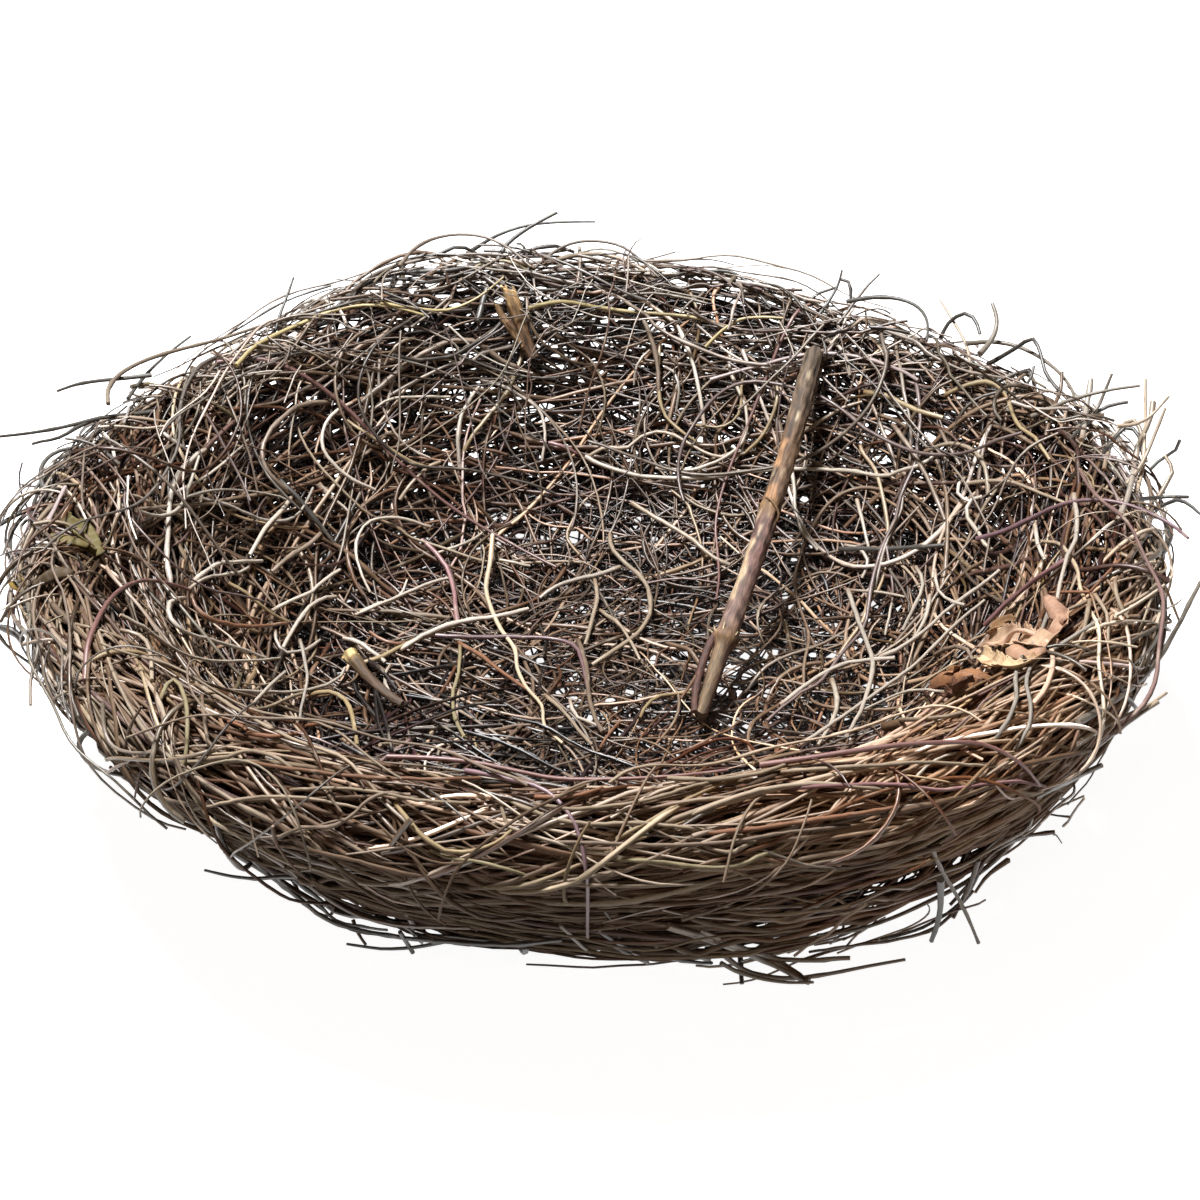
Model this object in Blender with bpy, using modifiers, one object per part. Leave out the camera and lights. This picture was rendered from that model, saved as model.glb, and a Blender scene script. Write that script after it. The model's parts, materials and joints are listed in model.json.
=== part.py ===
"""An empty cup nest of thin dry twigs, in metres, +Z up.

The origin is the centre of the flat underside. A spot on the nest is given by its azimuth in degrees,
anticlockwise from +X, and its place in millimetres along the section, from the centre of the underside, out
under the wall, up its outside, over the rim and down to the centre of the cup.
"""

import math

import bmesh
import bpy
import numpy as np
from mathutils import Vector

MM = 0.001

# Section of the nest over the tops of its courses of twigs, as (radius, height) in mm, from the centre of
# the underside to the centre of the cup.
SECTION = [
    (0, 0), (58, 0), (92, 0), (107, 5), (126, 20), (146, 42), (161, 63), (162, 73),
    (151, 83), (138, 79), (123, 62), (105, 42), (84, 26), (55, 19), (25, 17), (0, 17),
]
# Where the nest is fuller than a turned bowl: (azimuth, its spread, place, its spread, height in mm).
LUMPS = [
    (100, 34, 214, 18, 10), (46, 20, 212, 20, -3), (311, 27, 146, 30, 9), (210, 20, 155, 42, -8),
    (16, 12, 214, 14, 3), (144, 19, 212, 20, -6), (245, 16, 205, 22, 2), (340, 18, 232, 16, 2),
    (190, 24, 130, 22, -4), (292, 18, 112, 16, 3), (276, 14, 112, 14, -2), (356, 20, 180, 30, -2),
    (243, 14, 126, 26, 2),
]
BASE_EDGE = 92
TURN_STEPS = 72
COURSE_HEIGHT = 2.1  # half the height of a raised course of twigs
COURSE_SPACING = 7.0  # from a course's top to the hollow beside it
FLOOR_COURSE_SPACING = 10
OUTER_START = 101
FLOOR_START = 318
FLOOR_END = 380
CENTRE_OF_CUP = 388.9
COURSE_WANDER = 5  # how far a course winds up and down
COURSE_SWELL = 0.35  # how much thicker a course gets in places, as a share
SWELLS_PER_TURN = 7
ROUGHNESS = 0.5
STEADY_NEAR_BASE = 25  # over this stretch of the section the courses begin to wind
STEADY_NEAR_CENTRE = 60
LOW_COURSE_SHARE = 0.25  # the height of a course beside the base's edge or the cup's centre
LOWEST_COURSE = 0.8  # over the surface that the nest rests on
SEED = 11

# From the middle of the courses to their tops.
COURSE_TOPS = COURSE_HEIGHT * (1 + COURSE_SWELL) + 2 * ROUGHNESS

CLEARANCE = 0.6  # between neighbouring pieces
TWIG_SAMPLE = 2.0
PASSING_REACH = 5  # samples on each side over which a twig rises to pass over another
PASSING_NEAR = 0.5  # how much farther off another twig still counts as met
TWIG_SEGMENT = 11.0
FINE = 0.75  # twig radii
MEDIUM = 0.9
STOUT = 1.2
TIP_SHARE = 0.55  # a twig's radius at its tip

# Thick pieces, whose points are azimuth, place and height over the courses, as every route's below are.
STICK_TOP = (57, 233, 0.5)
STICK_FOOT = (337, 352, 0.3)
STICK_RADIUS = 3.15
STICK_BOW = np.array([1.6, 0.4, 1.2])  # how far it bends out of a straight line, in mm
STICK_BENDS = 1.5
# Share of the way down the stick and of its radius there, with the knot above its foot.
STICK_WIDTHS = [
    (0, 0.92), (0.12, 1.0), (0.27, 0.95), (0.43, 1.0), (0.58, 0.95), (0.7, 0.94), (0.76, 1.0), (0.8, 1.08),
    (0.84, 0.88), (0.91, 0.82), (1.0, 0.7),
]
STUB_ROUTE = [(98.5, 243, 0), (99.5, 237, 0), (100.5, 230, 0.3), (101.5, 224, 1.5)]
STUB_RADIUS = 2.0
STUB_WIDTHS = [0.8, 0.95, 1.0, 1.1, 0.9]
KNOBBED_ROUTE = [(191, 333, 0), (185, 328, 0), (179, 323, 0), (175, 319, 0.8), (172, 315, 1.8)]
KNOBBED_RADIUS = 1.6
KNOBBED_WIDTHS = [0.6, 0.8, 0.9, 1.0, 0.95, 1.35, 0.9]

# Single twigs that stand out by colour: (name, colour, radius, route).
COLOURED_TWIGS = [
    ("red_twig_left", "red", MEDIUM,
     [(141, 213, 2), (138, 219, 0), (130, 243, 0), (124, 269, 0),
      (117, 290, 0), (105, 311, 0), (99, 319, 0)]),
    ("red_twig_right", "red", FINE,
     [(61, 211, 2), (62, 218, 1), (63, 236, 0), (64, 258, 0), (65, 281, 0), (63, 299, 0), (52, 325, 0)]),
    ("red_arch_left", "red", MEDIUM,
     [(215, 206, 1), (212, 212, 0), (208, 219, 0), (202, 227, 0),
      (194, 237, 0), (187, 247, 0), (181, 261, 0)]),
    ("purple_twig_right", "purple", MEDIUM,
     [(12, 258, 0), (8, 249, 0), (4, 236, 0), (1, 226, 0), (-2, 216, 1), (-4, 206, 6), (-8, 203, 11)]),
    ("red_arc_front_right", "red", MEDIUM,
     [(287, 223, 0), (294, 219, 0), (299, 216, 0), (304, 212, 0),
      (309, 206, 0), (311, 199, 0), (313, 192, 1)]),
    ("purple_twig_front", "purple", FINE,
     [(258, 224, 0), (263, 219, 0), (267, 214, 0), (269, 207, 0),
      (270, 195, 0), (270, 180, 0), (270, 162, 2)]),
    ("red_twig_front", "red", FINE,
     [(250, 223, 0), (258, 225, 0), (267, 226, 0), (276, 225, 0), (284, 225, 0)]),
    ("yellow_twig_left", "ochre", MEDIUM,
     [(141, 222, 0), (137, 219, 0), (130, 217, 0), (124, 218, 0), (119, 221, 0), (113, 227, 0)]),
    ("yellow_twig_back_left", "ochre", FINE, [(119, 222, 1), (112, 227, 0), (106, 226, 0), (102, 223, 1)]),
    ("yellow_twig_back", "ochre", MEDIUM,
     [(99, 230, 3), (93, 228, 1), (86, 229, 0), (79, 229, 0), (75, 229, 0), (70, 231, 0)]),
    ("yellow_twig_back_right", "ochre", FINE, [(73, 238, 1), (70, 230, 2), (67, 227, 1), (63, 225, 3)]),
    ("pale_stem", "ochre", MEDIUM,
     [(112, 303, 0), (115, 313, 0), (120, 323, 0), (126, 339, 0),
      (138, 359, 0), (196, 374, 0), (254, 361, 0)]),
]

# Single twigs whose ends stand out of the nest's outline.
STRAY_TWIGS = [
    ("stray_left_1", "dark", MEDIUM,
     [(154, 216, 0), (159, 208, 5), (163, 207, 7), (166, 205, 10), (168, 204, 14), (171, 203, 20)]),
    ("stray_left_2", "dark", FINE,
     [(156, 212, 1), (153, 209, 5), (150, 209, 7), (146, 209, 10), (142, 210, 13)]),
    ("stray_left_3", "dark", MEDIUM,
     [(152, 214, 0), (156, 208, 1.5), (158, 208, 6.5), (160.5, 208, 12.5), (162.5, 208, 18.5)]),
    ("stray_left_4", "brown", MEDIUM,
     [(161, 214, 0), (159.5, 210, 5.5), (155.5, 211, 11.5), (150.5, 211, 13),
      (142.5, 211, 7), (135.5, 212, 4), (130.5, 213, 3), (124, 217, 0)]),
    ("stray_left_5", "brown", MEDIUM,
     [(202, 205, 0), (203, 200, 1), (205, 197, 3), (207, 193, 5), (210, 193, 8)]),
    ("stray_left_6", "dark", MEDIUM,
     [(221, 204, 0), (217, 194, 3), (216, 191, 6), (217, 192, 9), (219, 190, 9), (222, 189, 6), (226, 187, 0)]),
    ("stray_left_7", "dark", MEDIUM,
     [(176, 206, 0), (172.5, 202, 6), (171, 203, 8), (169, 204, 8.5), (166.5, 205, 5.5), (164, 208, 0),
      (164.5, 222, 0)]),
    ("stray_left_8", "ochre", FINE,
     [(220, 205, 0), (221, 202, 3.5), (220.5, 198, 2.5), (221, 195, 2), (222.5, 194, 1), (226, 199, 3.5),
      (229, 202, 0)]),
    ("stray_left_9", "brown", MEDIUM,
     [(201, 199, 0), (197, 193, 2), (193, 193, 3), (189, 195, 3), (187, 199, 2), (187, 206, 1), (186, 213, 0)]),
    ("stray_back_1", "dark", FINE,
     [(134, 216, 0), (130.5, 210, 2), (129.5, 210, 5), (128, 211, 8), (126.5, 211, 13)]),
    ("stray_back_2", "dark", STOUT,
     [(106, 230, 0), (104, 222, 1), (102, 214, 4), (100, 213, 8), (97, 213, 11), (94, 213, 15)]),
    ("stray_back_3", "dark", FINE,
     [(104, 208, 0), (101, 212, 5), (99, 211, 9.5), (96, 211, 12), (93, 211, 12.5), (89.5, 212, 8.5)]),
    ("stray_back_4", "brown", MEDIUM,
     [(121, 216, 0), (119, 212, 3), (116, 212, 5), (112, 213, 4), (107, 214, 2), (101, 218, 0)]),
    ("stray_back_5", "brown", FINE,
     [(115, 217, 0), (112, 213, 7), (110, 213, 11), (106, 213, 10), (102, 214, 6), (98, 220, 0)]),
    ("stray_back_6", "dark", FINE,
     [(78, 216, 0), (75, 212, 5), (73, 212, 7), (71, 212, 5), (69, 214, 2), (66, 220, 0)]),
    ("stray_back_7", "dark", FINE, [(60, 218, 0), (59, 212, 6), (59, 212, 14)]),
    ("stray_back_8", "brown", FINE, [(57, 218, 0), (56, 211, 7), (56, 212, 12), (55, 210, 17)]),
    ("stray_back_9", "dark", MEDIUM,
     [(56, 217, 0), (54, 212, 6), (52, 211, 10), (49, 211, 13), (47, 211, 10), (45, 213, 4), (43, 219, 0)]),
    ("stray_back_10", "ochre", FINE,
     [(99, 220, 0), (95, 213, 4), (91, 213, 7), (88, 213, 8), (85, 213, 6), (81, 218, 0)]),
    ("stray_right_1", "brown", FINE,
     [(36, 218, 0), (38, 211, 3), (42, 211, 9), (44, 211, 13), (46, 211, 16)]),
    ("stray_right_2", "dark", STOUT,
     [(35, 217, 0), (36, 212, 1.5), (36.5, 212, 8.5), (37.5, 212, 15.5), (38.5, 212, 21)]),
    ("stray_right_3", "dark", MEDIUM,
     [(38, 216, 0), (38, 208, 8), (37, 209, 11), (35.5, 209, 12.5), (33, 209, 12),
      (29, 209, 10), (25, 209, 6), (22.5, 208, 3.5), (19, 213, 0)]),
    ("stray_right_4", "dark", MEDIUM,
     [(16, 215, 0), (17, 209, 4), (18, 210, 8), (18, 211, 13), (18, 211, 17)]),
    ("stray_right_5", "dark", MEDIUM,
     [(21, 222, 0), (19, 218, 2), (17.5, 215, 1.5), (17, 212, 3.5), (15.5, 210, 9.5), (14, 210, 19.5)]),
    ("stray_right_6", "brown", MEDIUM,
     [(4, 205, 0), (7, 201, 2), (10, 203, 7), (13, 206, 14), (15, 209, 22)]),
    ("stray_right_7", "brown", FINE,
     [(11, 212, 0), (11, 207, 2.5), (12.5, 207, 10), (12.5, 207, 16.5), (12, 207, 23.5)]),
    ("stray_right_8", "ochre", MEDIUM,
     [(6, 207, 0), (7.5, 204, 4), (9.5, 205, 9), (10, 206, 14.5), (11, 207, 20.5)]),
    ("stray_right_9", "dark", STOUT,
     [(320, 200, 0), (327, 197, 1), (332, 195, 2), (337, 193, 3), (342, 194, 4), (346, 196, 6), (350, 196, 10)]),
    ("stray_right_10", "ochre", MEDIUM,
     [(319, 195, 0), (323, 193, 1), (328, 190, 2), (331, 190, 4), (334, 192, 7)]),
    ("stray_front_1", "brown", MEDIUM,
     [(299, 202, 0), (301, 187, 1), (306, 165, 2), (311, 150, 6), (311, 147, 15)]),
    ("stray_front_2", "dark", STOUT, [(303, 175, 0), (305, 163, 1), (307, 149, 3), (307, 144, 9)]),
    ("stray_front_3", "brown", MEDIUM,
     [(285, 131, 0), (288, 121, 4), (291, 123, 9), (295, 131, 10), (299, 137, 9), (304, 141, 11)]),
    ("stray_front_4", "dark", FINE,
     [(255, 133, 0), (251, 124, 2), (247, 124, 5), (244, 127, 6), (241, 130, 7)]),
    ("stray_front_5", "brown", MEDIUM,
     [(320, 160, 0), (317, 153, 3.5), (312.5, 148, 2), (308.5, 145, 1.5), (305, 142, 1), (301.5, 139, 3),
      (298.5, 137, 4), (296, 138, 0)]),
    ("stray_front_6", "brown", FINE,
     [(285, 133, 0), (288, 128, 2), (290.5, 131, 5.5), (292.5, 136, 8.5), (293.5, 140, 11)]),
    ("stray_front_7", "dark", FINE,
     [(229, 182, 0), (231, 176, 1), (232, 172, 4), (232, 166, 4), (234, 158, 2), (237, 155, 0)]),
    ("stray_front_8", "dark", FINE,
     [(242, 165, 0), (239.5, 168, 1), (235, 158, 1), (234.5, 165, 3.5), (234.5, 172, 6.5), (234.5, 178, 10)]),
]

# Leaves: (name, colour, azimuth, place, height over the courses, heading, length, width, curl), angles in
# degrees.
LEAVES = [
    ("dry_leaf", "tan", 335.5, 241, 1.0, 84, 36, 21, 75),
    ("dry_leaf_tip", "rust", 341.5, 269, 0.8, 60, 21, 12, -60),
    ("olive_leaf", "olive", 188, 222, 1.0, 35, 18, 9, 50),
    ("ochre_leaf", "ochre", 193, 202, 1.0, 20, 12, 5, 40),
    ("dark_leaf", "dark", 197, 213, 0.8, 60, 13, 6, -40),
]
LEAF_THICKNESS = 0.5
LEAF_ROWS = 8
LEAF_COLUMNS = 4
LEAF_EDGE_WAVE = 1.2
LEAF_WAVES = 5
LEAF_LIFT = 0.8  # how far a leaf's middle stands up for each radian of its curl
LEAF_STALK_SHARE = 0.25  # the width of a leaf's ends, as a share of its widest
LEAF_ARCH = 0.10  # how far a leaf's ends bend down, as a share of its length
LEAF_REACH = 1.6  # how far from a leaf's sheet a twig passes over it

COLOURS = {
    "wall": (0.115, 0.080, 0.052), "bark": (0.150, 0.085, 0.050), "brown": (0.170, 0.118, 0.074),
    "dark": (0.042, 0.040, 0.036), "red": (0.150, 0.050, 0.048), "purple": (0.130, 0.062, 0.080),
    "ochre": (0.330, 0.235, 0.095), "tan": (0.520, 0.340, 0.200), "rust": (0.270, 0.130, 0.060),
    "olive": (0.150, 0.120, 0.030),
}


def clear_scene():
    for item in list(bpy.data.objects):
        bpy.data.objects.remove(item, do_unlink=True)


def material(colour):
    if colour in bpy.data.materials:
        return bpy.data.materials[colour]
    made = bpy.data.materials.new(colour)
    made.use_nodes = True
    shader = made.node_tree.nodes["Principled BSDF"]
    shader.inputs["Base Color"].default_value = (*COLOURS[colour], 1)
    shader.inputs["Roughness"].default_value = 0.75
    shader.inputs["Metallic"].default_value = 0.0
    return made


def smooth_through(points, steps):
    """Points of a Catmull-Rom curve through the given ones, with that many steps from each to the next."""
    given = np.asarray(points, float)
    last = len(given) - 1
    at = np.linspace(0, last, last * steps + 1)
    left = np.minimum(at.astype(int), last - 1)
    share = (at - left)[:, None]
    before, start, end, after = (given[np.clip(left + k, 0, last)] for k in (-1, 0, 1, 2))
    return 0.5 * (
        2 * start
        + (end - before) * share
        + (2 * before - 5 * start + 4 * end - after) * share**2
        + (3 * start - before - 3 * end + after) * share**3
    )


def lengths_along(points):
    return np.concatenate([[0], np.cumsum(np.linalg.norm(np.diff(points, axis=0), axis=1))])


SECTION_CURVE = smooth_through(SECTION, 60)
SECTION_PLACES = lengths_along(SECTION_CURVE)


def section(place):
    """(radius, height) at a place of the section."""
    curve = [np.interp(place, SECTION_PLACES, SECTION_CURVE[:, axis]) for axis in (0, 1)]
    return np.stack([np.maximum(curve[0], 0), curve[1]], -1)


def section_normal(place):
    along = section(np.asarray(place, float) + 1.5) - section(np.asarray(place, float) - 1.5)
    normal = np.stack([along[..., 1], -along[..., 0]], -1)
    return normal / np.maximum(np.linalg.norm(normal, axis=-1, keepdims=True), 1e-9)


def lump(azimuth, place):
    """How far the nest stands out of the turned bowl there, in mm."""
    height = np.zeros(np.broadcast(azimuth, place).shape)
    for at_azimuth, turn_spread, at_place, place_spread, most in LUMPS:
        turn = (azimuth - at_azimuth + 180) % 360 - 180
        height += most * np.exp(-((turn / turn_spread) ** 2) - ((place - at_place) / place_spread) ** 2)
    return height


def on_nest(azimuth, place, height):
    """Points, in mm, that far over the tops of the courses."""
    azimuth, place, height = (np.asarray(value, float) for value in (azimuth, place, height))
    out = (height + lump(azimuth, place))[..., None]
    spot = section(place) + section_normal(place) * out
    turn = np.radians(azimuth)
    return np.stack([spot[..., 0] * np.cos(turn), spot[..., 0] * np.sin(turn), spot[..., 1]], -1)


def outward(azimuth, place):
    normal = section_normal(place)
    turn = np.radians(azimuth)
    return np.stack([normal[..., 0] * np.cos(turn), normal[..., 0] * np.sin(turn), normal[..., 1]], -1)


def wall_rows():
    """Places of the wall's rows, from the centre of the cup to the centre of the underside."""
    sides = round((FLOOR_START - OUTER_START) / COURSE_SPACING)
    floor = round((FLOOR_END - FLOOR_START) / FLOOR_COURSE_SPACING)
    rows = [
        *np.linspace(OUTER_START, FLOOR_START, sides, endpoint=False),
        *np.linspace(FLOOR_START, FLOOR_END, floor),
    ]
    return np.array([CENTRE_OF_CUP, *reversed(rows), BASE_EDGE, 0.0])


def turned_bowl(name, rows):
    """The plain bowl: the section turned about +Z by a Screw, as a mesh."""
    profile = bpy.data.meshes.new(name)
    spots = section(rows) * MM
    spots[[0, -1], 0] = 0
    profile.from_pydata([(r, 0, z) for r, z in spots], [(i, i + 1) for i in range(len(rows) - 1)], [])
    bowl = bpy.data.objects.new(name, profile)
    parts.objects.link(bowl)
    turn = bowl.modifiers.new("turn", "SCREW")
    turn.steps = turn.render_steps = TURN_STEPS
    turn.use_merge_vertices = True
    turn.merge_threshold = 0.00005
    turn.use_normal_calculate = False
    bpy.context.view_layer.update()
    turned = bpy.data.meshes.new_from_object(bowl.evaluated_get(bpy.context.evaluated_depsgraph_get()))
    bowl.modifiers.clear()
    bowl.data = turned
    return bowl, spots


def freedom(place):
    """How freely a course winds there: 1 on the wall, less near the base's edge and the cup's centre."""
    from_base = (place - OUTER_START + COURSE_SPACING) / STEADY_NEAR_BASE
    from_centre = (CENTRE_OF_CUP - place) / STEADY_NEAR_CENTRE
    return min(1, from_base, from_centre)


def winding(turn, place):
    """How far a course has wound up or down the wall there, in mm."""
    slow = math.sin(2 * turn + place / 22)
    quick = 0.6 * math.sin(5 * turn - place / 17)
    return COURSE_WANDER * freedom(place) * (slow + quick)


def make_woven_wall():
    """The bowl, with each row of its faces moved into a raised or a hollow course that winds round it."""
    rows = wall_rows()
    bowl, spots = turned_bowl("woven_wall", rows)
    rng = np.random.default_rng(SEED)
    rough = rng.normal(0, ROUGHNESS, (len(rows), TURN_STEPS))
    swell_start = rng.uniform(0, 2 * math.pi, len(rows))
    centre_row, base_row = 0, len(rows) - 2
    for vertex in bowl.data.vertices:
        radius = math.hypot(vertex.co.x, vertex.co.y)
        row = int(np.argmin((spots[:, 0] - radius) ** 2 + (spots[:, 1] - vertex.co.z) ** 2))
        if row == centre_row:
            vertex.co.z -= COURSE_TOPS * MM
        elif row >= base_row:
            vertex.co.z = 0
        else:
            azimuth = math.degrees(math.atan2(vertex.co.y, vertex.co.x))
            turn = math.radians(azimuth)
            raised = COURSE_HEIGHT if row % 2 else -COURSE_HEIGHT
            height = raised * (1 + COURSE_SWELL * math.sin(SWELLS_PER_TURN * turn + swell_start[row]))
            height += rough[row, round(azimuth / 360 * TURN_STEPS) % TURN_STEPS]
            height *= min(1, LOW_COURSE_SHARE + freedom(rows[row]))
            spot = on_nest(azimuth, rows[row] + winding(turn, rows[row]), height - COURSE_TOPS)
            spot[2] = max(spot[2], LOWEST_COURSE)
            vertex.co = Vector(spot * MM)
    finish(bowl, "wall", smooth=False)


def finish(item, colour, smooth=True):
    item.data.materials.clear()
    item.data.materials.append(material(colour))
    if smooth and item.type == "MESH":
        item.data.shade_smooth()


def tube(name, colour, points, radii, sides=4):
    """A twig as a curve with a round bevel, thinner or thicker from point to point, in mm."""
    curve = bpy.data.curves.new(name, "CURVE")
    curve.dimensions = "3D"
    curve.bevel_depth = MM
    curve.bevel_resolution = (sides - 4) // 2
    curve.use_fill_caps = True
    spline = curve.splines.new("POLY")
    spline.points.add(len(points) - 1)
    for point, spot, radius in zip(spline.points, points, radii):
        point.co = (*(spot * MM), 1)
        point.radius = radius
    item = bpy.data.objects.new(name, curve)
    parts.objects.link(item)
    finish(item, colour)


laid = []  # (points, radius) of each piece in place, which later twigs pass over


def spread_highest(heights, reach):
    """The highest of the heights within that many samples of each."""
    padded = np.pad(heights, reach, mode="edge")
    return np.array([padded[i : i + 2 * reach + 1].max() for i in range(len(heights))])


def average(heights, reach):
    padded = np.pad(heights, reach, mode="edge")
    return np.array([padded[i : i + 2 * reach + 1].mean() for i in range(len(heights))])


def pass_over(azimuths, places, heights, radius):
    """Heights raised so that the twig passes over each piece already laid that it crosses."""
    for _ in range(3):
        spots = on_nest(azimuths, places, heights)
        normals = outward(azimuths, places)
        needed = heights.copy()
        for others, other_radius in laid:
            apart = spots[:, None] - others[None]
            above = np.einsum("ijk,ik->ij", apart, normals)
            reach = radius + other_radius + CLEARANCE
            meets = np.linalg.norm(apart, axis=2) < reach + PASSING_NEAR
            needed = np.maximum(needed, heights + np.where(meets, reach - above, 0).max(1))
        if np.allclose(needed, heights):
            break
        heights = average(spread_highest(needed, PASSING_REACH), PASSING_REACH - 2)
    return heights


def resample(values, lengths, spacing):
    count = max(4, round(lengths[-1] / spacing))
    at = np.linspace(0, lengths[-1], count + 1)
    return np.stack([np.interp(at, lengths, column) for column in values.T], -1)


def lay_twig(name, colour, radius, route):
    """A twig along its route, on the courses or over the pieces already laid, thinner towards its end."""
    path = smooth_through(route, 12)
    path[:, 2] = np.maximum(path[:, 2], radius)
    path = resample(path, lengths_along(on_nest(*path.T)), TWIG_SAMPLE)
    heights = pass_over(path[:, 0], path[:, 1], path[:, 2], radius)
    spots = on_nest(path[:, 0], path[:, 1], heights)
    laid.append((spots, radius))
    points = resample(spots, lengths_along(spots), TWIG_SEGMENT)
    radii = radius * np.linspace(1, TIP_SHARE, len(points))
    tube(name, colour, points, radii)


def make_stick():
    """The thick stick: nearly straight from the rim to the floor, with a knot above its foot."""
    top, foot = (on_nest(*end[:2], end[2] + STICK_RADIUS) for end in (STICK_TOP, STICK_FOOT))
    shares, widths = np.array(STICK_WIDTHS).T
    bow = STICK_BOW * np.sin(math.pi * shares * STICK_BENDS)[:, None]
    points = top + (foot - top) * shares[:, None] + bow
    tube("thick_stick", "bark", points, STICK_RADIUS * widths, sides=8)
    laid.append((resample(points, lengths_along(points), TWIG_SAMPLE), STICK_RADIUS * max(widths)))


def make_stout_twig(name, colour, route, radius, swellings):
    """A stout twig along its route, with its swellings as radius shares."""
    path = smooth_through(route, 8)
    path[:, 2] = np.maximum(path[:, 2], 0) + radius * max(swellings)
    spots = on_nest(*path.T)
    points = resample(spots, lengths_along(spots), lengths_along(spots)[-1] / (len(swellings) - 1))
    points = points[: len(swellings)]
    tube(name, colour, points, radius * np.array(swellings[: len(points)]), sides=6)
    laid.append((spots, radius * max(swellings)))


def make_leaf(name, colour, azimuth, place, height, heading, length, width, curl):
    """A curled leaf: a pointed oval of a thin sheet, rolled across its width, waved along its edges."""
    sheet = bmesh.new()
    bmesh.ops.create_grid(sheet, x_segments=LEAF_ROWS, y_segments=LEAF_COLUMNS, size=0.5)
    roll = math.radians(curl)
    for vertex in sheet.verts:
        along, across = vertex.co.x * 2, vertex.co.y * 2
        swell = max(math.cos(along * math.pi / 2), 0) ** 0.7
        half = width / 2 * (LEAF_STALK_SHARE + (1 - LEAF_STALK_SHARE) * swell)
        angle = across * roll / 2
        side = half * math.sin(angle) / (roll / 2)
        rise = half * (1 - math.cos(angle)) / (roll / 2)
        wave = LEAF_EDGE_WAVE * abs(across) * math.sin(LEAF_WAVES * along + 2 * across)
        bend = -LEAF_ARCH * length * along**2
        vertex.co = (along * length / 2, side, rise + wave + bend)
    mesh = bpy.data.meshes.new(name)
    sheet.to_mesh(mesh)
    sheet.free()
    up = outward(azimuth, place)
    spot = on_nest(azimuth, place, height + LEAF_LIFT * abs(roll))
    round_about = np.array([-math.sin(math.radians(azimuth)), math.cos(math.radians(azimuth)), 0])
    over = np.cross(up, round_about)
    turn = math.radians(heading)
    first = round_about * math.cos(turn) + over * math.sin(turn)
    second = np.cross(up, first)
    for vertex in mesh.vertices:
        x, y, z = vertex.co
        vertex.co = Vector((spot + first * x + second * y + up * z) * MM)
    leaf = bpy.data.objects.new(name, mesh)
    parts.objects.link(leaf)
    thick = leaf.modifiers.new("thickness", "SOLIDIFY")
    thick.thickness = LEAF_THICKNESS * MM
    thick.offset = 0
    finish(leaf, colour)
    laid.append((np.array([vertex.co[:] for vertex in mesh.vertices]) / MM, LEAF_REACH))


clear_scene()
parts = bpy.data.collections.new("bird_nest")
bpy.context.scene.collection.children.link(parts)

make_woven_wall()
make_stick()
make_stout_twig("broken_stub", "ochre", STUB_ROUTE, STUB_RADIUS, STUB_WIDTHS)
make_stout_twig("knobbed_twig", "brown", KNOBBED_ROUTE, KNOBBED_RADIUS, KNOBBED_WIDTHS)
for leaf_row in LEAVES:
    make_leaf(*leaf_row)
for twig_row in COLOURED_TWIGS + STRAY_TWIGS:
    lay_twig(*twig_row)
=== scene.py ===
"""Looks of an empty cup nest of thin dry twigs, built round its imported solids.

Lengths are in millimetres until a mesh is made. A spot on the nest is given by its azimuth in degrees,
anticlockwise from +X, and its place along the section: from the centre of the underside, out under the wall,
up its outside, over the rim and down to the centre of the cup.
"""

import json
import math

import bpy
import numpy as np
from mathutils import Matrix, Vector


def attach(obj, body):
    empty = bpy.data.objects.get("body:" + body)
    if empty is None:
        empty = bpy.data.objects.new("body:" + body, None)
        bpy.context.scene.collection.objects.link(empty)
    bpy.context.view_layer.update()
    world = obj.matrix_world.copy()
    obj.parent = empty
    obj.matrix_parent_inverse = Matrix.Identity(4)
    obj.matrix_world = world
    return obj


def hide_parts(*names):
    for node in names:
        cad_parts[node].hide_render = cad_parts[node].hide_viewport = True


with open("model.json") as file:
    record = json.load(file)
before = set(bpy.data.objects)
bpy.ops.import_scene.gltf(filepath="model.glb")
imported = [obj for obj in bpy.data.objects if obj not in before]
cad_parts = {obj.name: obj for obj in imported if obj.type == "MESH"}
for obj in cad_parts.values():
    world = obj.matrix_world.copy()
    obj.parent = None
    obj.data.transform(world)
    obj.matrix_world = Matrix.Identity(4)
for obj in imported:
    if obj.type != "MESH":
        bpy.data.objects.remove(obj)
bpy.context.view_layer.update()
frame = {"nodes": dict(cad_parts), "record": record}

MM = 0.001
# The bowl's section and that of its core, as radius and height.
SECTION = [
    (0, 0), (58, 0), (92, 0), (107, 5), (126, 20), (146, 42), (161, 63), (162, 73),
    (151, 83), (138, 79), (123, 62), (105, 42), (84, 26), (55, 19), (25, 17), (0, 17),
]
CORE_SECTION = [(0, 9), (60, 10), (90, 11), (108, 22), (124, 41), (138, 60), (146, 74)]
# Lumps and dents of the bowl: azimuth and spread in degrees, place and spread, and how far it stands out.
LUMPS = [
    (100, 34, 214, 18, 10), (46, 20, 212, 20, -3), (311, 27, 146, 30, 9), (210, 20, 155, 42, -8),
    (16, 12, 214, 14, 3), (144, 19, 212, 20, -6), (245, 16, 205, 22, 2), (340, 18, 232, 16, 2),
    (190, 24, 130, 22, -4), (292, 18, 112, 16, 3), (276, 14, 112, 14, -2), (356, 20, 180, 30, -2),
    (243, 14, 126, 26, 2),
]
STEP = 3.0  # between the points of a walked path
LOWEST = 0.1  # of a twig over what the nest rests on
WIDEST = 165  # radius of the bowl
REACH, UNDER, OVER = 200, -30, 140  # radius and heights that the map of nearest places covers


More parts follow.
